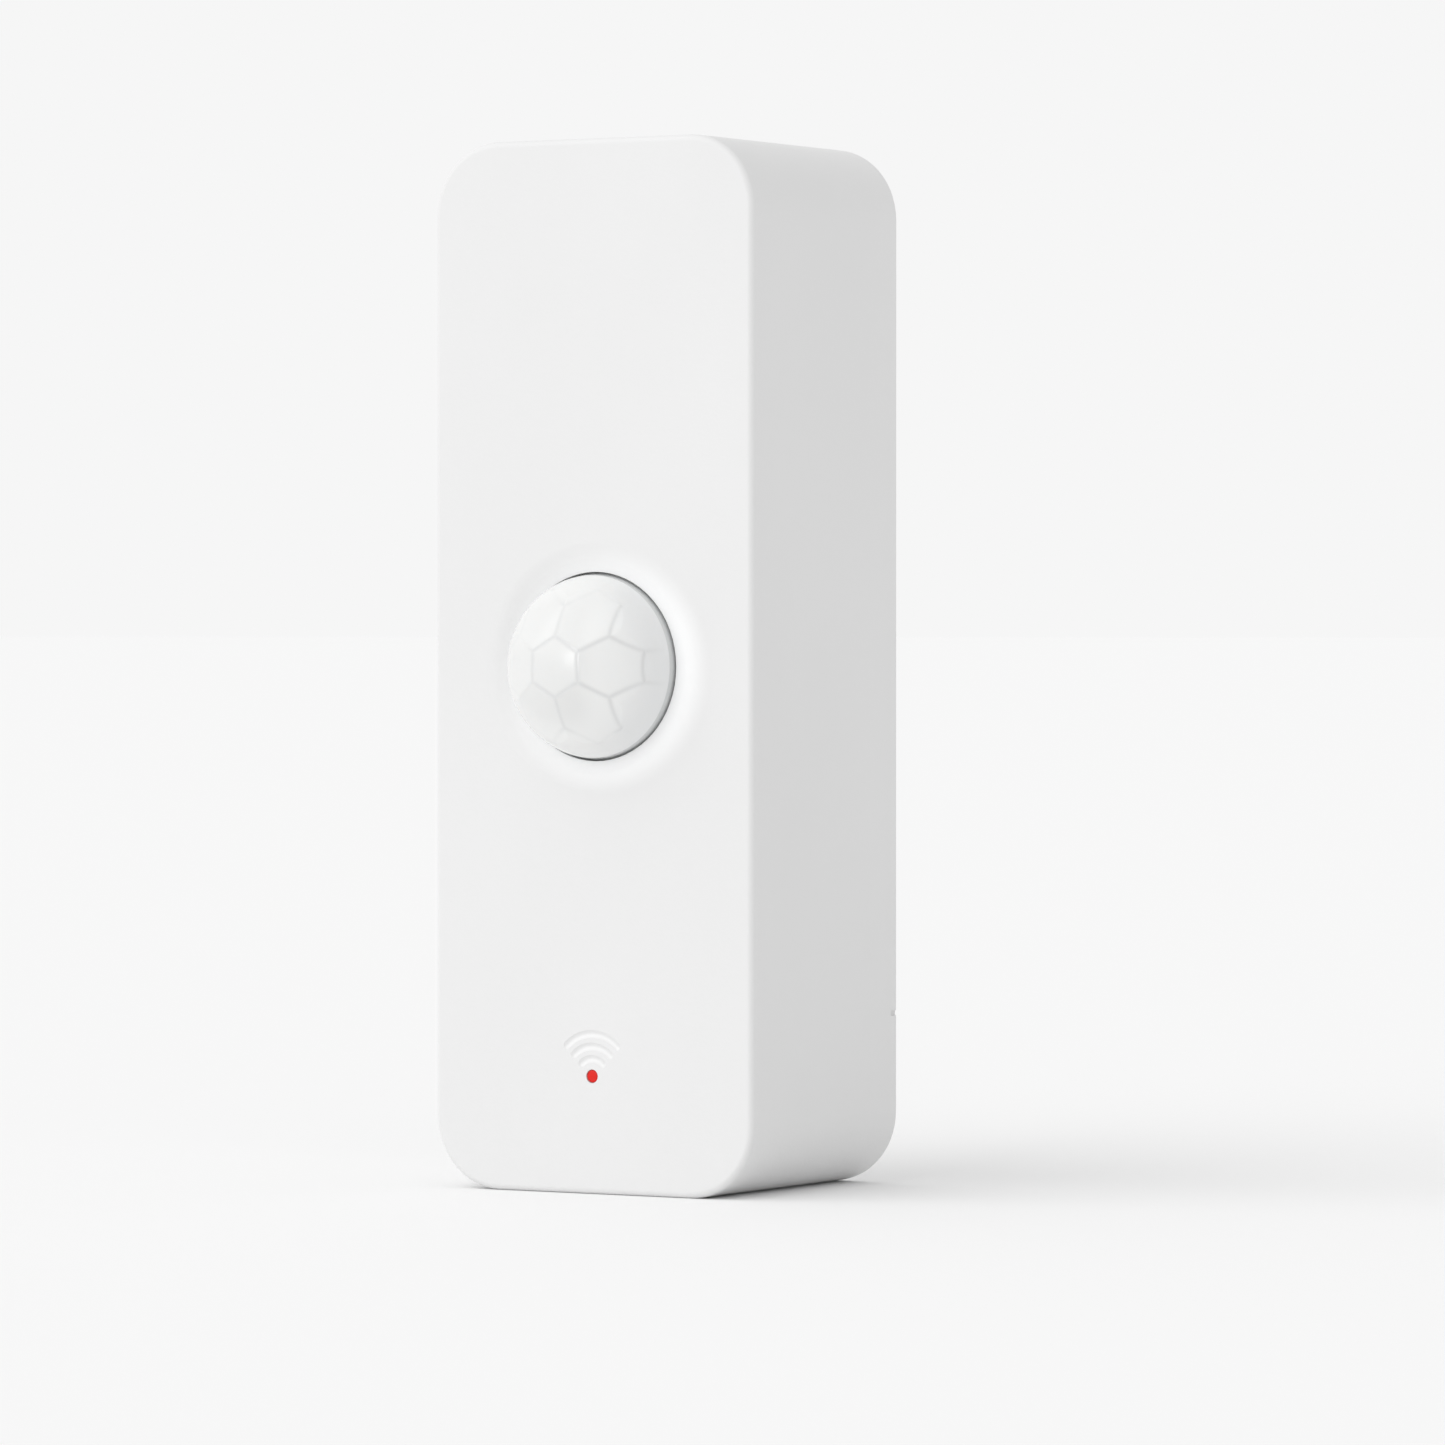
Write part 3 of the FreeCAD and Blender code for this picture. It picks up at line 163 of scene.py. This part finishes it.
class Paint:
    """One node material under construction."""

    def __init__(self, name):
        self.name = name
        self.material = bpy.data.materials.new(name)
        self.material.use_nodes = True
        self.nodes = self.material.node_tree.nodes
        self.links = self.material.node_tree.links
        self.shader = self.nodes["Principled BSDF"]
        self.place = self.nodes.new("ShaderNodeTexCoord").outputs["Object"]
        self.last_bump = None

    def set(self, **values):
        """Plain values on the shader's own sockets; underscores stand for spaces."""
        for key, value in values.items():
            self.shader.inputs[key.replace("_", " ")].default_value = value

    def mapped(self, size, stretch):
        """The object's own coordinates, scaled so that one unit is size metres."""
        node = self.nodes.new("ShaderNodeMapping")
        node.inputs["Scale"].default_value = [s / size for s in stretch]
        self.links.new(self.place, node.inputs["Vector"])
        return node.outputs["Vector"]

    def noise(self, size, detail=2.0, stretch=EVEN):
        """Soft noise with features about size metres across."""
        node = self.nodes.new("ShaderNodeTexNoise")
        node.inputs["Scale"].default_value = 1.0
        node.inputs["Detail"].default_value = detail
        self.links.new(self.mapped(size, stretch), node.inputs["Vector"])
        return node.outputs["Fac"]

    def cloud(self, size, detail, low=0.0, high=1.0):
        """Soft noise brought from its usual range to low..high."""
        return self.span(self.noise(size, detail), 0.3, 0.7, low, high)

    def cells(self, size):
        """Distance to scattered points about size metres apart."""
        node = self.nodes.new("ShaderNodeTexVoronoi")
        node.inputs["Scale"].default_value = 1.0
        self.links.new(self.mapped(size, EVEN), node.inputs["Vector"])
        return node.outputs["Distance"]

    def axis(self, letter):
        """The object's X, Y or Z coordinate."""
        node = self.nodes.new("ShaderNodeSeparateXYZ")
        self.links.new(self.place, node.inputs[0])
        return node.outputs[letter]

    def math(self, kind, *values):
        """The result of a math node on sockets or plain numbers."""
        node = self.nodes.new("ShaderNodeMath")
        node.operation = kind
        for socket, value in zip(node.inputs, values):
            if isinstance(value, (int, float)):
                socket.default_value = value
            else:
                self.links.new(value, socket)
        return node.outputs[0]

    def span(self, value, start, end, low=0.0, high=1.0, smooth=False):
        """value from start..end brought to low..high and held there outside."""
        node = self.nodes.new("ShaderNodeMapRange")
        node.interpolation_type = "SMOOTHSTEP" if smooth else "LINEAR"
        node.inputs["From Min"].default_value = start
        node.inputs["From Max"].default_value = end
        node.inputs["To Min"].default_value = low
        node.inputs["To Max"].default_value = high
        self.links.new(value, node.inputs["Value"])
        return node.outputs["Result"]

    def mix(self, share, a, b):
        """Colour a where share is 0 and b where it is 1."""
        node = self.nodes.new("ShaderNodeMix")
        node.data_type = "RGBA"
        self.links.new(share, node.inputs["Factor"])
        for socket, value in ((node.inputs["A"], a), (node.inputs["B"], b)):
            if isinstance(value, tuple):
                socket.default_value = (*value, 1.0)
            else:
                self.links.new(value, socket)
        return node.outputs["Result"]

    def reach(self, **centre):
        """Distance from a line given by its place on two axes."""
        squares = []
        for letter, middle in centre.items():
            offset = self.math("SUBTRACT", self.axis(letter), middle)
            squares.append(self.math("MULTIPLY", offset, offset))
        return self.math("SQRT", self.math("ADD", *squares))

    def tint(self, share, colour):
        """Lays a colour over the one already there."""
        under = self.shader.inputs["Base Color"].links[0].from_socket
        self.colour(self.mix(share, under, colour))

    def colour(self, socket):
        self.links.new(socket, self.shader.inputs["Base Color"])

    def roughness(self, socket):
        self.links.new(socket, self.shader.inputs["Roughness"])

    def metallic(self, socket):
        self.links.new(socket, self.shader.inputs["Metallic"])

    def bump(self, height, depth):
        """Relief of depth metres for a height of 0 to 1, on top of any relief before it."""
        node = self.nodes.new("ShaderNodeBump")
        node.inputs["Strength"].default_value = 1.0
        node.inputs["Distance"].default_value = depth
        self.links.new(height, node.inputs["Height"])
        if self.last_bump is not None:
            self.links.new(self.last_bump, node.inputs["Normal"])
        self.last_bump = node.outputs["Normal"]
        self.links.new(self.last_bump, self.shader.inputs["Normal"])

    def attribute(self, name):
        """A value stored on the mesh."""
        node = self.nodes.new("ShaderNodeAttribute")
        node.attribute_name = name
        return node.outputs["Fac"]


def scaled(colour, factor):
    """A colour made darker or lighter."""
    return tuple(c * factor for c in colour)


def moulded(name, colour, rough=(0.42, 0.5), tone=0.03, patch=0.012, grain=0.00028, depth=0.000006):
    """Injection-moulded plastic: faint flow mottling and a fine spark-eroded grain."""
    paint = Paint(name)
    flow = paint.noise(patch, 3.0, (1.0, 1.0, 0.5))
    paint.colour(paint.mix(paint.span(flow, 0.35, 0.65), scaled(colour, 1.0 - tone), colour))
    paint.roughness(paint.cloud(patch / 3, 4.0, *rough))
    paint.bump(paint.noise(grain, 2.0), depth)
    paint.set(IOR=1.5)
    return paint


def metal(name, colour, rough=(0.25, 0.4), stretch=EVEN, streak=0.0004):
    """Sheet or wire metal: drawn streaks and slightly uneven plating."""
    paint = Paint(name)
    lines = paint.noise(streak, 3.0, stretch)
    both = paint.math("MULTIPLY", paint.noise(0.003, 3.0), lines)
    paint.colour(paint.mix(paint.span(both, 0.15, 0.35), scaled(colour, 0.85), colour))
    paint.roughness(paint.span(lines, 0.3, 0.7, *rough))
    paint.bump(lines, 0.000004)
    paint.set(Metallic=1.0)
    return paint


# ---------------------------------------------------------------- materials

PAINTED_HALO_AT = {"X": 0.9 * MM, "Z": -0.2 * MM}  # middle of the painted halo of light round the lens
PAINTED_HALO_R = (6.6 * MM, 9.2 * MM)  # the painted halo fades out between these radii
# colour of the painted halo of light round the lens
PAINTED_HALO_WHITE = (0.945, 0.948, 0.950)
ARC_FLOOR = (0.02 * MM, 0.09 * MM)  # depth behind the front face at which the painted highlight in an arc begins and is full
ARC_REACH = (3.6 * MM, 3.7 * MM)  # from the light to just outside the last arc
ARC_START = 0.8 * MM  # half a pitch inside the first arc
ARC_PITCH = 0.9 * MM
ARC_LIT_SHARE = (0.44, 0.60)  # share of the pitch over which the painted highlight ends, so it stays off the outer walls
# colour of the painted highlight on the inner half of each arc
ARC_HIGHLIGHT_WHITE = (0.835, 0.835, 0.835)
LENS_WHITES = ((0.836, 0.840, 0.834), (0.842, 0.846, 0.840))
# painted shade: a greyer rim on the lens's right side
SHADED_RIM_WHITES = ((0.796, 0.802, 0.804), (0.802, 0.808, 0.810))
SHADED_RIM_R = (4.4 * MM, 6.4 * MM)  # the painted shade on the lens's rim begins and is full at these radii
SHADED_RIM_SIDE = (0.5 * MM, 4.5 * MM)  # and at these places across the lens, full on its right side
LINE_WHITE = (0.70, 0.705, 0.705)
LENS_JOINT = (-0.13 * MM, -0.02 * MM)  # from the front face, where a painted shadow darkens the joint round the lens
JOINT_SHADOW_GREY = (0.64, 0.65, 0.65)
LENS_SHADE_AT = {"X": -0.5 * MM, "Z": 0.6 * MM}  # middle of the painted shade that darkens the lens's middle and left side
LENS_SHADE_R = (3.8 * MM, 5.8 * MM)
LENS_SHADE_SIDE = (1.2 * MM, 3.3 * MM)  # the painted shade fades out across here
# colour of the painted shade on the lens's middle and left side
LENS_SHADE_WHITE = (0.772, 0.776, 0.770)


def housing_white():
    """The housing's satin white, with a painted halo of light round the lens and a painted highlight on the
    inner half of each arc.
    """
    paint = moulded("housing_white", (0.77, 0.77, 0.77), rough=(0.40, 0.47), tone=0.012)
    # painted halo of light round the lens, centred a little right of and below it
    paint.tint(paint.span(paint.reach(**PAINTED_HALO_AT), *PAINTED_HALO_R, 1.0, 0.0, smooth=True), PAINTED_HALO_WHITE)
    front_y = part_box("front_shell")[0][1]
    light_low, light_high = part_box("light_pipe")
    light = {"X": (light_low[0] + light_high[0]) / 2, "Z": (light_low[2] + light_high[2]) / 2}
    groove = paint.span(paint.axis("Y"), front_y + ARC_FLOOR[0], front_y + ARC_FLOOR[1])
    from_light = paint.reach(**light)
    near = paint.span(from_light, *ARC_REACH, 1.0, 0.0)
    turn = paint.math("DIVIDE", paint.math("SUBTRACT", from_light, ARC_START), ARC_PITCH)
    inner = paint.span(paint.math("FRACT", turn), *ARC_LIT_SHARE, 1.0, 0.0)
    # painted highlight on the inner half of each arc's groove
    lit_half = paint.math("MULTIPLY", inner, near)
    paint.tint(paint.math("MULTIPLY", groove, lit_half), ARC_HIGHLIGHT_WHITE)
    return paint


def lens_milky():
    """Milky polyethylene, faintly uneven in tone, with painted shade on its middle, left side and right rim,
    a painted shadow in the joint, and fine dull lines between the facets.
    """
    paint = Paint("lens_milky")
    cloud = paint.cloud(0.004, 2.0)
    body = paint.mix(cloud, *LENS_WHITES)
    grey = paint.mix(cloud, *SHADED_RIM_WHITES)
    # painted shade: a greyer rim towards the lens's right side
    rim = paint.span(paint.reach(X=0.0, Z=0.0), *SHADED_RIM_R, smooth=True)
    shaded_rim_side = paint.span(paint.axis("X"), *SHADED_RIM_SIDE, smooth=True)
    paint.colour(paint.mix(paint.math("MULTIPLY", rim, shaded_rim_side), body, grey))
    # painted shade over the lens's middle and left side
    middle = paint.span(paint.reach(**LENS_SHADE_AT), *LENS_SHADE_R, 1.0, 0.0, smooth=True)
    side = paint.span(paint.axis("X"), *LENS_SHADE_SIDE, 1.0, 0.0, smooth=True)
    paint.tint(paint.math("MULTIPLY", middle, side), LENS_SHADE_WHITE)
    paint.tint(paint.attribute("line"), LINE_WHITE)
    front_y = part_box("front_shell")[0][1]
    # painted shadow in the joint round the lens
    joint = paint.span(paint.axis("Y"), front_y + LENS_JOINT[0], front_y + LENS_JOINT[1], smooth=True)
    paint.tint(joint, JOINT_SHADOW_GREY)
    paint.roughness(paint.cloud(0.002, 3.0, 0.20, 0.23))
    paint.bump(paint.noise(0.0006, 2.0), 0.000001)
    paint.set(
        Subsurface_Weight=0.3,
        Subsurface_Radius=(1.0, 0.95, 0.9),
        Subsurface_Scale=0.0003,
        IOR=1.51,
    )
    return paint


def indicator_red():
    """Clear red plastic, glowing faintly."""
    paint = Paint("indicator_red")
    speck = paint.cloud(0.0004, 2.0)
    paint.colour(paint.mix(speck, (0.55, 0.010, 0.006), (0.64, 0.014, 0.008)))
    paint.roughness(paint.cloud(0.0008, 3.0, 0.18, 0.26))
    paint.bump(paint.noise(0.0003, 2.0), 0.000003)
    paint.set(
        Emission_Color=(1.0, 0.014, 0.006, 1.0),
        Emission_Strength=0.11,
        Specular_IOR_Level=0.3,
        IOR=1.49,
    )
    return paint


def foam_tape():
    """Dark closed-cell foam with fine pores."""
    paint = Paint("foam_tape")
    pores = paint.cells(0.0002)
    patch = paint.noise(0.004, 3.0)
    mixed = paint.math("MULTIPLY", paint.span(pores, 0.1, 0.6), paint.span(patch, 0.2, 0.8, 0.75, 1.0))
    paint.colour(paint.mix(mixed, (0.028, 0.028, 0.029), (0.046, 0.046, 0.048)))
    paint.roughness(paint.span(patch, 0.3, 0.7, 0.75, 0.9))
    paint.bump(paint.span(pores, 0.05, 0.5), 0.00008)
    return paint


TRACK_UNIT = 1.4 * MM  # the length that board tracks are laid out in


def board(name, mask, copper):
    """Solder mask over copper tracks: raised runs of unequal length."""
    paint = Paint(name)
    runs = paint.nodes.new("ShaderNodeTexBrick")
    runs.offset = 0.37
    runs.squash = 0.6
    runs.squash_frequency = 3
    runs.inputs["Scale"].default_value = 1.0
    runs.inputs["Mortar Size"].default_value = 0.04
    runs.inputs["Mortar Smooth"].default_value = 0.3
    runs.inputs["Brick Width"].default_value = 3.1
    runs.inputs["Row Height"].default_value = 0.55
    turned = paint.nodes.new("ShaderNodeMapping")
    turned.inputs["Rotation"].default_value = (math.radians(90), 0.0, 0.0)
    turned.inputs["Scale"].default_value = (1 / TRACK_UNIT, 1 / TRACK_UNIT, 1 / TRACK_UNIT)
    paint.links.new(paint.place, turned.inputs["Vector"])
    paint.links.new(turned.outputs["Vector"], runs.inputs["Vector"])
    track = runs.outputs["Fac"]
    under = paint.mix(track, mask, copper)
    cloud = paint.cloud(0.004, 3.0, 0.0, 0.35)
    paint.colour(paint.mix(cloud, under, scaled(mask, 0.7)))
    paint.roughness(paint.cloud(0.001, 3.0, 0.28, 0.4))
    paint.bump(track, 0.00003)
    paint.bump(paint.noise(0.0003, 2.0), 0.000004)
    return paint


def filter_dark():
    """The dark, glossy infrared window."""
    paint = Paint("filter_dark")
    cloud = paint.cloud(0.0012, 2.0)
    paint.colour(paint.mix(cloud, (0.012, 0.010, 0.014), (0.022, 0.016, 0.024)))
    paint.roughness(paint.cloud(0.0005, 2.0, 0.06, 0.12))
    paint.bump(paint.noise(0.0008, 1.0), 0.000002)
    paint.set(IOR=1.9)
    return paint


def ceramic(name, colour):
    """Fired ceramic: fine grains in slightly different tones."""
    paint = Paint(name)
    grains = paint.cells(0.00012)
    paint.colour(paint.mix(paint.span(grains, 0.1, 0.7), scaled(colour, 0.8), colour))
    paint.roughness(paint.cloud(0.0004, 2.0, 0.45, 0.6))
    paint.bump(grains, 0.000006)
    return paint


SLEEVE_BAND = 9.5 * MM
SLEEVE_LINE = 0.4 * MM
SLEEVE_EDGE = 0.08 * MM


def cell_sleeve(name, split_z, upward):
    """Printed sleeve: a copper-coloured band at the nub end over a dark body, parted by a pale line."""
    paint = Paint(name)
    z = paint.axis("Z")
    way = 1 if upward else -1
    soft = way * SLEEVE_EDGE
    far_z = split_z + way * SLEEVE_LINE
    band = paint.span(z, split_z - soft, split_z + soft)
    inner = paint.span(z, far_z - soft, far_z + soft)
    line = paint.math("SUBTRACT", band, inner)
    cloud = paint.cloud(0.004, 3.0)
    dark = paint.mix(cloud, (0.012, 0.015, 0.020), (0.020, 0.024, 0.030))
    warm = paint.mix(cloud, (0.46, 0.22, 0.09), (0.52, 0.26, 0.11))
    body = paint.mix(band, dark, warm)
    paint.colour(paint.mix(line, body, (0.70, 0.68, 0.62)))
    paint.metallic(paint.span(band, 0.0, 1.0, 0.0, 0.6))
    paint.roughness(paint.cloud(0.0015, 4.0, 0.24, 0.36))
    paint.bump(paint.noise(0.0025, 2.0, (1.0, 1.0, 0.2)), 0.00002)
    paint.set(Coat_Weight=0.3, Coat_Roughness=0.15)
    return paint


def make_materials():
    """A material for every slot of the record, and one for each cell's sleeve."""
    left_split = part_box("left_cell_label")[1][2] - SLEEVE_BAND
    right_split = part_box("right_cell_label")[0][2] + SLEEVE_BAND
    made = [
        housing_white(),
        lens_milky(),
        indicator_red(),
        foam_tape(),
        filter_dark(),
        moulded("cover_white", (0.76, 0.76, 0.76), rough=(0.44, 0.52), tone=0.015),
        moulded("retainer_grey", (0.58, 0.58, 0.57), rough=(0.45, 0.55)),
        moulded("chassis_white", (0.70, 0.70, 0.69), (0.45, 0.58), tone=0.05, grain=0.0004, depth=0.00001),
        moulded("spacer_white", (0.66, 0.64, 0.58), rough=(0.4, 0.5)),
        moulded("chip_black", (0.022, 0.022, 0.023), rough=(0.5, 0.62), tone=0.2, grain=0.0001),
        moulded("led_white", (0.74, 0.72, 0.62), rough=(0.3, 0.4), patch=0.001, grain=0.0001),
        moulded("tantalum_yellow", (0.52, 0.27, 0.03), rough=(0.4, 0.5), tone=0.1, grain=0.0001),
        moulded("switch_black", (0.025, 0.025, 0.025), rough=(0.45, 0.6), tone=0.2, patch=0.002),
        moulded("plunger_white", (0.74, 0.74, 0.72), rough=(0.35, 0.45), patch=0.003),
        metal("screw_steel", (0.62, 0.62, 0.61), rough=(0.22, 0.38), streak=0.0003),
        metal("nickel", (0.70, 0.68, 0.64), rough=(0.18, 0.3), stretch=(1.0, 1.0, 0.15)),
        metal("shield_tin", (0.66, 0.66, 0.65), rough=(0.25, 0.42), stretch=(0.12, 1.0, 1.0), streak=0.0003),
        metal("copper", (0.80, 0.52, 0.24), rough=(0.2, 0.32), streak=0.0002),
        metal("spring_steel", (0.64, 0.62, 0.58), rough=(0.2, 0.34), streak=0.0002),
        metal("cell_steel", (0.66, 0.65, 0.63), rough=(0.2, 0.34), stretch=(1.0, 1.0, 0.2)),
        ceramic("sensor_ceramic", (0.55, 0.48, 0.36)),
        ceramic("ferrite", (0.050, 0.050, 0.054)),
        ceramic("capacitor_tan", (0.30, 0.18, 0.09)),
        ceramic("resistor_black", (0.03, 0.03, 0.033)),
        ceramic("cell_filling", (0.02, 0.02, 0.02)),
        board("board_green", (0.010, 0.105, 0.045), (0.030, 0.20, 0.075)),
        board("radio_board_blue", (0.008, 0.022, 0.075), (0.020, 0.050, 0.14)),
    ]
    materials = {paint.name: paint.material for paint in made}
    materials["left_cell_label"] = cell_sleeve("left_sleeve", left_split, True).material
    materials["right_cell_label"] = cell_sleeve("right_sleeve", right_split, False).material
    return materials


FRAME_CREASE = math.radians(32)  # edges sharper than this stay crisp


def dress_frame(materials):
    """Puts each CAD node's material in its object's slots and smooths its shading."""
    slots = {row["node"]: row["material_slot"] for row in frame["record"]["subparts"]}
    for name, obj in frame["nodes"].items():
        material = materials.get(name) or materials[slots[name]]
        if not obj.material_slots:
            obj.data.materials.append(material)
        for slot in obj.material_slots:
            slot.link = "OBJECT"
            slot.material = material
        obj.data.polygons.foreach_set("use_smooth", [True] * len(obj.data.polygons))
        obj.data.set_sharp_from_angle(angle=FRAME_CREASE)


# ---------------------------------------------------------------- the lens

DOME_R = 6.65 * MM
DOME_H = 6.14 * MM
SHOULDER_R = 6.77 * MM
LENS_T = 0.5 * MM
FLANGE_T = 0.78 * MM
BEVEL = 0.12 * MM
HEX_R = 2.21 * MM  # centre of the lens to a corner of the middle facet
SPOKE_R = 4.42 * MM  # to the far end of a line that runs out from such a corner
OUTER_FLAT = 5.74 * MM  # to the outer edge of a facet round the middle one
OUTER_HALF = 1.105 * MM  # half the length of that edge
STUB_R = 6.5 * MM  # to the far end of the short lines beyond it
FADING_SHARE = 0.4  # how far along a fading line it has become faint
FAINT = 0.2  # strength of a worn line
WASHED_OUT_SIDE = (-2.6 * MM, -1.6 * MM)  # the lines and their grooves fade out across these X on the left side, a painted highlight where light washes them out
WASHED_OUT_LEFT = 0.25  # what is left of them beyond that
FLATNESS = 0.42  # 0 is a smooth dome, 1 has flat facets
LEAST_LEAN = 0.05  # a facet's plane is ignored where it is seen flatter than this
GROOVE_DEPTH = 0.020 * MM
GROOVE_WIDTH = 0.17 * MM
SAMPLE_STEP = 0.03 / 1.8 * MM
SEGMENTS = 480
DOME_RINGS = 190
INNER_RINGS = 24
LENS_CREASE = math.radians(50)


def lens_point(x, z):
    """The place on the smooth dome over (x, z), from the dome's centre."""
    out = min(1.0, math.hypot(x, z) / DOME_R)
    return np.array((x, -DOME_H * math.sqrt(1.0 - out * out), z))


def dome_reach(directions, radius, height):
    """How far the smooth dome is from its centre along each unit direction."""
    out = np.hypot(directions[:, 0], directions[:, 2]) / radius
    rise = np.abs(directions[:, 1]) / height
    return 1.0 / np.hypot(out, rise)


def polar(radius, degrees):
    """The point at a radius and an angle on the lens's disc."""
    turn = math.radians(degrees)
    return radius * math.cos(turn), radius * math.sin(turn)


def between(a, b, share):
    """The point a share of the way from a to b."""
    return a[0] + (b[0] - a[0]) * share, a[1] + (b[1] - a[1]) * share


def outer_corners(i):
    """The two corners of the flat outer edge of facet i."""
    turn = math.radians(60 * i)
    corners = []
    for across in (-OUTER_HALF, OUTER_HALF):
        x = OUTER_FLAT * math.cos(turn) - across * math.sin(turn)
        z = OUTER_FLAT * math.sin(turn) + across * math.cos(turn)
        corners.append((x, z))
    return corners


def fading(start, end, strength):
    """A line that grows faint part of the way along."""
    middle = between(start, end, FADING_SHARE)
    return [(start, middle, strength, FAINT), (middle, end, FAINT, FAINT)]


def facet_lines():
    """Pairs of end points on the lens's disc, with each line's strength at its two ends."""
    lines = []
    for i in range(6):
        upright = i % 3 == 1  # the spokes straight up and straight down
        corner = polar(HEX_R, 30 + 60 * i)
        lines.append((corner, polar(HEX_R, 90 + 60 * i), 1.0, 1.0))
        lines.append((corner, polar(SPOKE_R, 30 + 60 * i), 1.0, 0.7 if upright else 0.9))
        flat = outer_corners(i)
        edge = 1.0 if i == 0 else FAINT
        if i == 5:
            lines += fading(flat[1], flat[0], 0.8)
        else:
            lines.append((flat[0], flat[1], edge, edge))
        for side, end in zip((-30, 30), flat):
            start = polar(SPOKE_R, 60 * i + side)
            if (60 * i + side) % 180 == 90:
                lines += fading(start, end, 0.7)
            else:
                lines.append((start, end, 0.9, 0.7))
            stub = between((0.0, 0.0), end, STUB_R / math.hypot(*end))
            lines.append((end, stub, 0.6 * edge, 0.1 * edge))
    return lines


def facet_planes():
    """Normal and distance of the plane each facet leans towards, for the middle one and six around it."""
    outlines = [[polar(HEX_R, 30 + 60 * i) for i in range(6)]]
    for i in range(6):
        ring = [polar(radius, 60 * i + side) for radius in (HEX_R, SPOKE_R) for side in (-30, 30)]
        outlines.append(ring + outer_corners(i))
    planes = []
    for outline in outlines:
        points = np.array([lens_point(x, z) for x, z in outline])
        centre = points.mean(0)
        normal = np.linalg.svd(points - centre)[2][2]
        normal = normal if normal @ centre > 0 else -normal
        planes.append((normal, float(normal @ centre)))
    return planes


def line_samples():
    """Places close together along every facet line, with the line's strength there."""
    samples = []
    for a, b, strong_a, strong_b in facet_lines():
        count = max(2, int(math.dist(a, b) / SAMPLE_STEP))
        for i in range(count + 1):
            t = i / count
            x = a[0] + (b[0] - a[0]) * t
            # the lines fade on the left as a painted highlight, and their grooves grow shallower with them
            washed_out = np.interp(x, WASHED_OUT_SIDE, (WASHED_OUT_LEFT, 1.0))
            place = lens_point(x, a[1] + (b[1] - a[1]) * t)
            samples.append((place, washed_out * (strong_a + (strong_b - strong_a) * t)))
    return samples


def lens_surface(directions):
    """Radius of the facetted dome along each direction, and how much of a line is there."""
    samples = line_samples()
    tree = KDTree(len(samples))
    for i, (point, _) in enumerate(samples):
        tree.insert(point, i)
    tree.balance()
    smooth = dome_reach(directions, DOME_R, DOME_H)
    flat = smooth.copy()
    for normal, distance in facet_planes():
        along = directions @ normal
        reach = distance / np.maximum(along, LEAST_LEAN)
        flat = np.where(along > LEAST_LEAN, np.minimum(flat, reach), flat)
    line = np.zeros(len(directions))
    for i, point in enumerate(directions * smooth[:, None]):
        _, index, gap = tree.find(point)
        line[i] = samples[index][1] * math.exp(-((gap / GROOVE_WIDTH) ** 2))
    return smooth - FLATNESS * (smooth - flat) - GROOVE_DEPTH * line, line


def fan(tilt):
    """Unit directions all round at an angle from the lens axis."""
    turns = np.linspace(0.0, 2 * math.pi, SEGMENTS, endpoint=False)
    around = np.stack([np.cos(turns), np.zeros(SEGMENTS), np.sin(turns)], 1)
    return around * math.sin(tilt) + np.array((0.0, -math.cos(tilt), 0.0))


def lens_faces(ring_count, last):
    """Faces of a closed skin from one pole through every ring to the other pole."""
    faces = []
    for j in range(SEGMENTS):
        k = (j + 1) % SEGMENTS
        faces.append((0, 1 + k, 1 + j))
        for i in range(ring_count - 1):
            a = 1 + i * SEGMENTS
            b = a + SEGMENTS
            faces.append((a + j, a + k, b + k, b + j))
        a = 1 + (ring_count - 1) * SEGMENTS
        faces.append((a + j, a + k, last))
    return faces


def make_lens(material):
    """The lens moulding as one closed revolved shell with pressed facets on its outside."""
    low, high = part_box("lens_dome")
    centre = np.array((0.0, low[1] + DOME_H, 0.0))
    back_y = high[1]
    flange_r = high[0]
    seat_y = back_y - FLANGE_T
    tilts = np.linspace(0.0, math.pi / 2, DOME_RINGS + 1)[1:]
    directions = np.concatenate([np.array([(0.0, -1.0, 0.0)])] + [fan(tilt) for tilt in tilts])
    radius, line = lens_surface(directions)
    dome = centre + directions * radius[:, None]
    rings = [dome[1 + i * SEGMENTS:1 + (i + 1) * SEGMENTS] for i in range(DOME_RINGS)]

    inner_r = DOME_R - LENS_T
    inner_h = DOME_H - LENS_T
    around = fan(math.pi / 2)
    profile = [
        (SHOULDER_R, centre[1] + (SHOULDER_R - DOME_R)),
        (SHOULDER_R, seat_y - BEVEL),
        (SHOULDER_R + BEVEL, seat_y),
        (flange_r - BEVEL, seat_y),
        (flange_r, seat_y + BEVEL),
        (flange_r, back_y - BEVEL),
        (flange_r - BEVEL, back_y),
        (inner_r + BEVEL, back_y),
        (inner_r, back_y - BEVEL),
        (inner_r, centre[1]),
    ]
    for r, y in profile:
        rings.append(around * r + np.array((0.0, y, 0.0)))
    for tilt in np.linspace(math.pi / 2, 0.0, INNER_RINGS + 1)[1:-1]:
        inward = fan(tilt)
        rings.append(centre + inward * dome_reach(inward, inner_r, inner_h)[:, None])
    last = centre + np.array((0.0, -inner_h, 0.0))
    vertices = np.concatenate([dome[:1], *rings, [last]])

    mesh = bpy.data.meshes.new("lens")
    mesh.from_pydata(vertices.tolist(), [], lens_faces(len(rings), len(vertices) - 1))
    mesh.materials.append(material)
    tail = len(vertices) - len(line)
    layer = mesh.attributes.new("line", "FLOAT", "POINT")
    layer.data.foreach_set("value", np.concatenate([line, np.zeros(tail)]))
    mesh.polygons.foreach_set("use_smooth", [True] * len(mesh.polygons))
    mesh.set_sharp_from_angle(angle=LENS_CREASE)
    mesh.update()
    lens = bpy.data.objects.new("lens", mesh)
    bpy.context.scene.collection.objects.link(lens)
    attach(lens, "housing")
    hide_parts("lens_dome")


# ---------------------------------------------------------------- everything together

bpy.context.scene.view_settings.view_transform = "Standard"
make_camera()
make_light()
make_floor()
materials = make_materials()
dress_frame(materials)
make_lens(materials["lens_milky"])
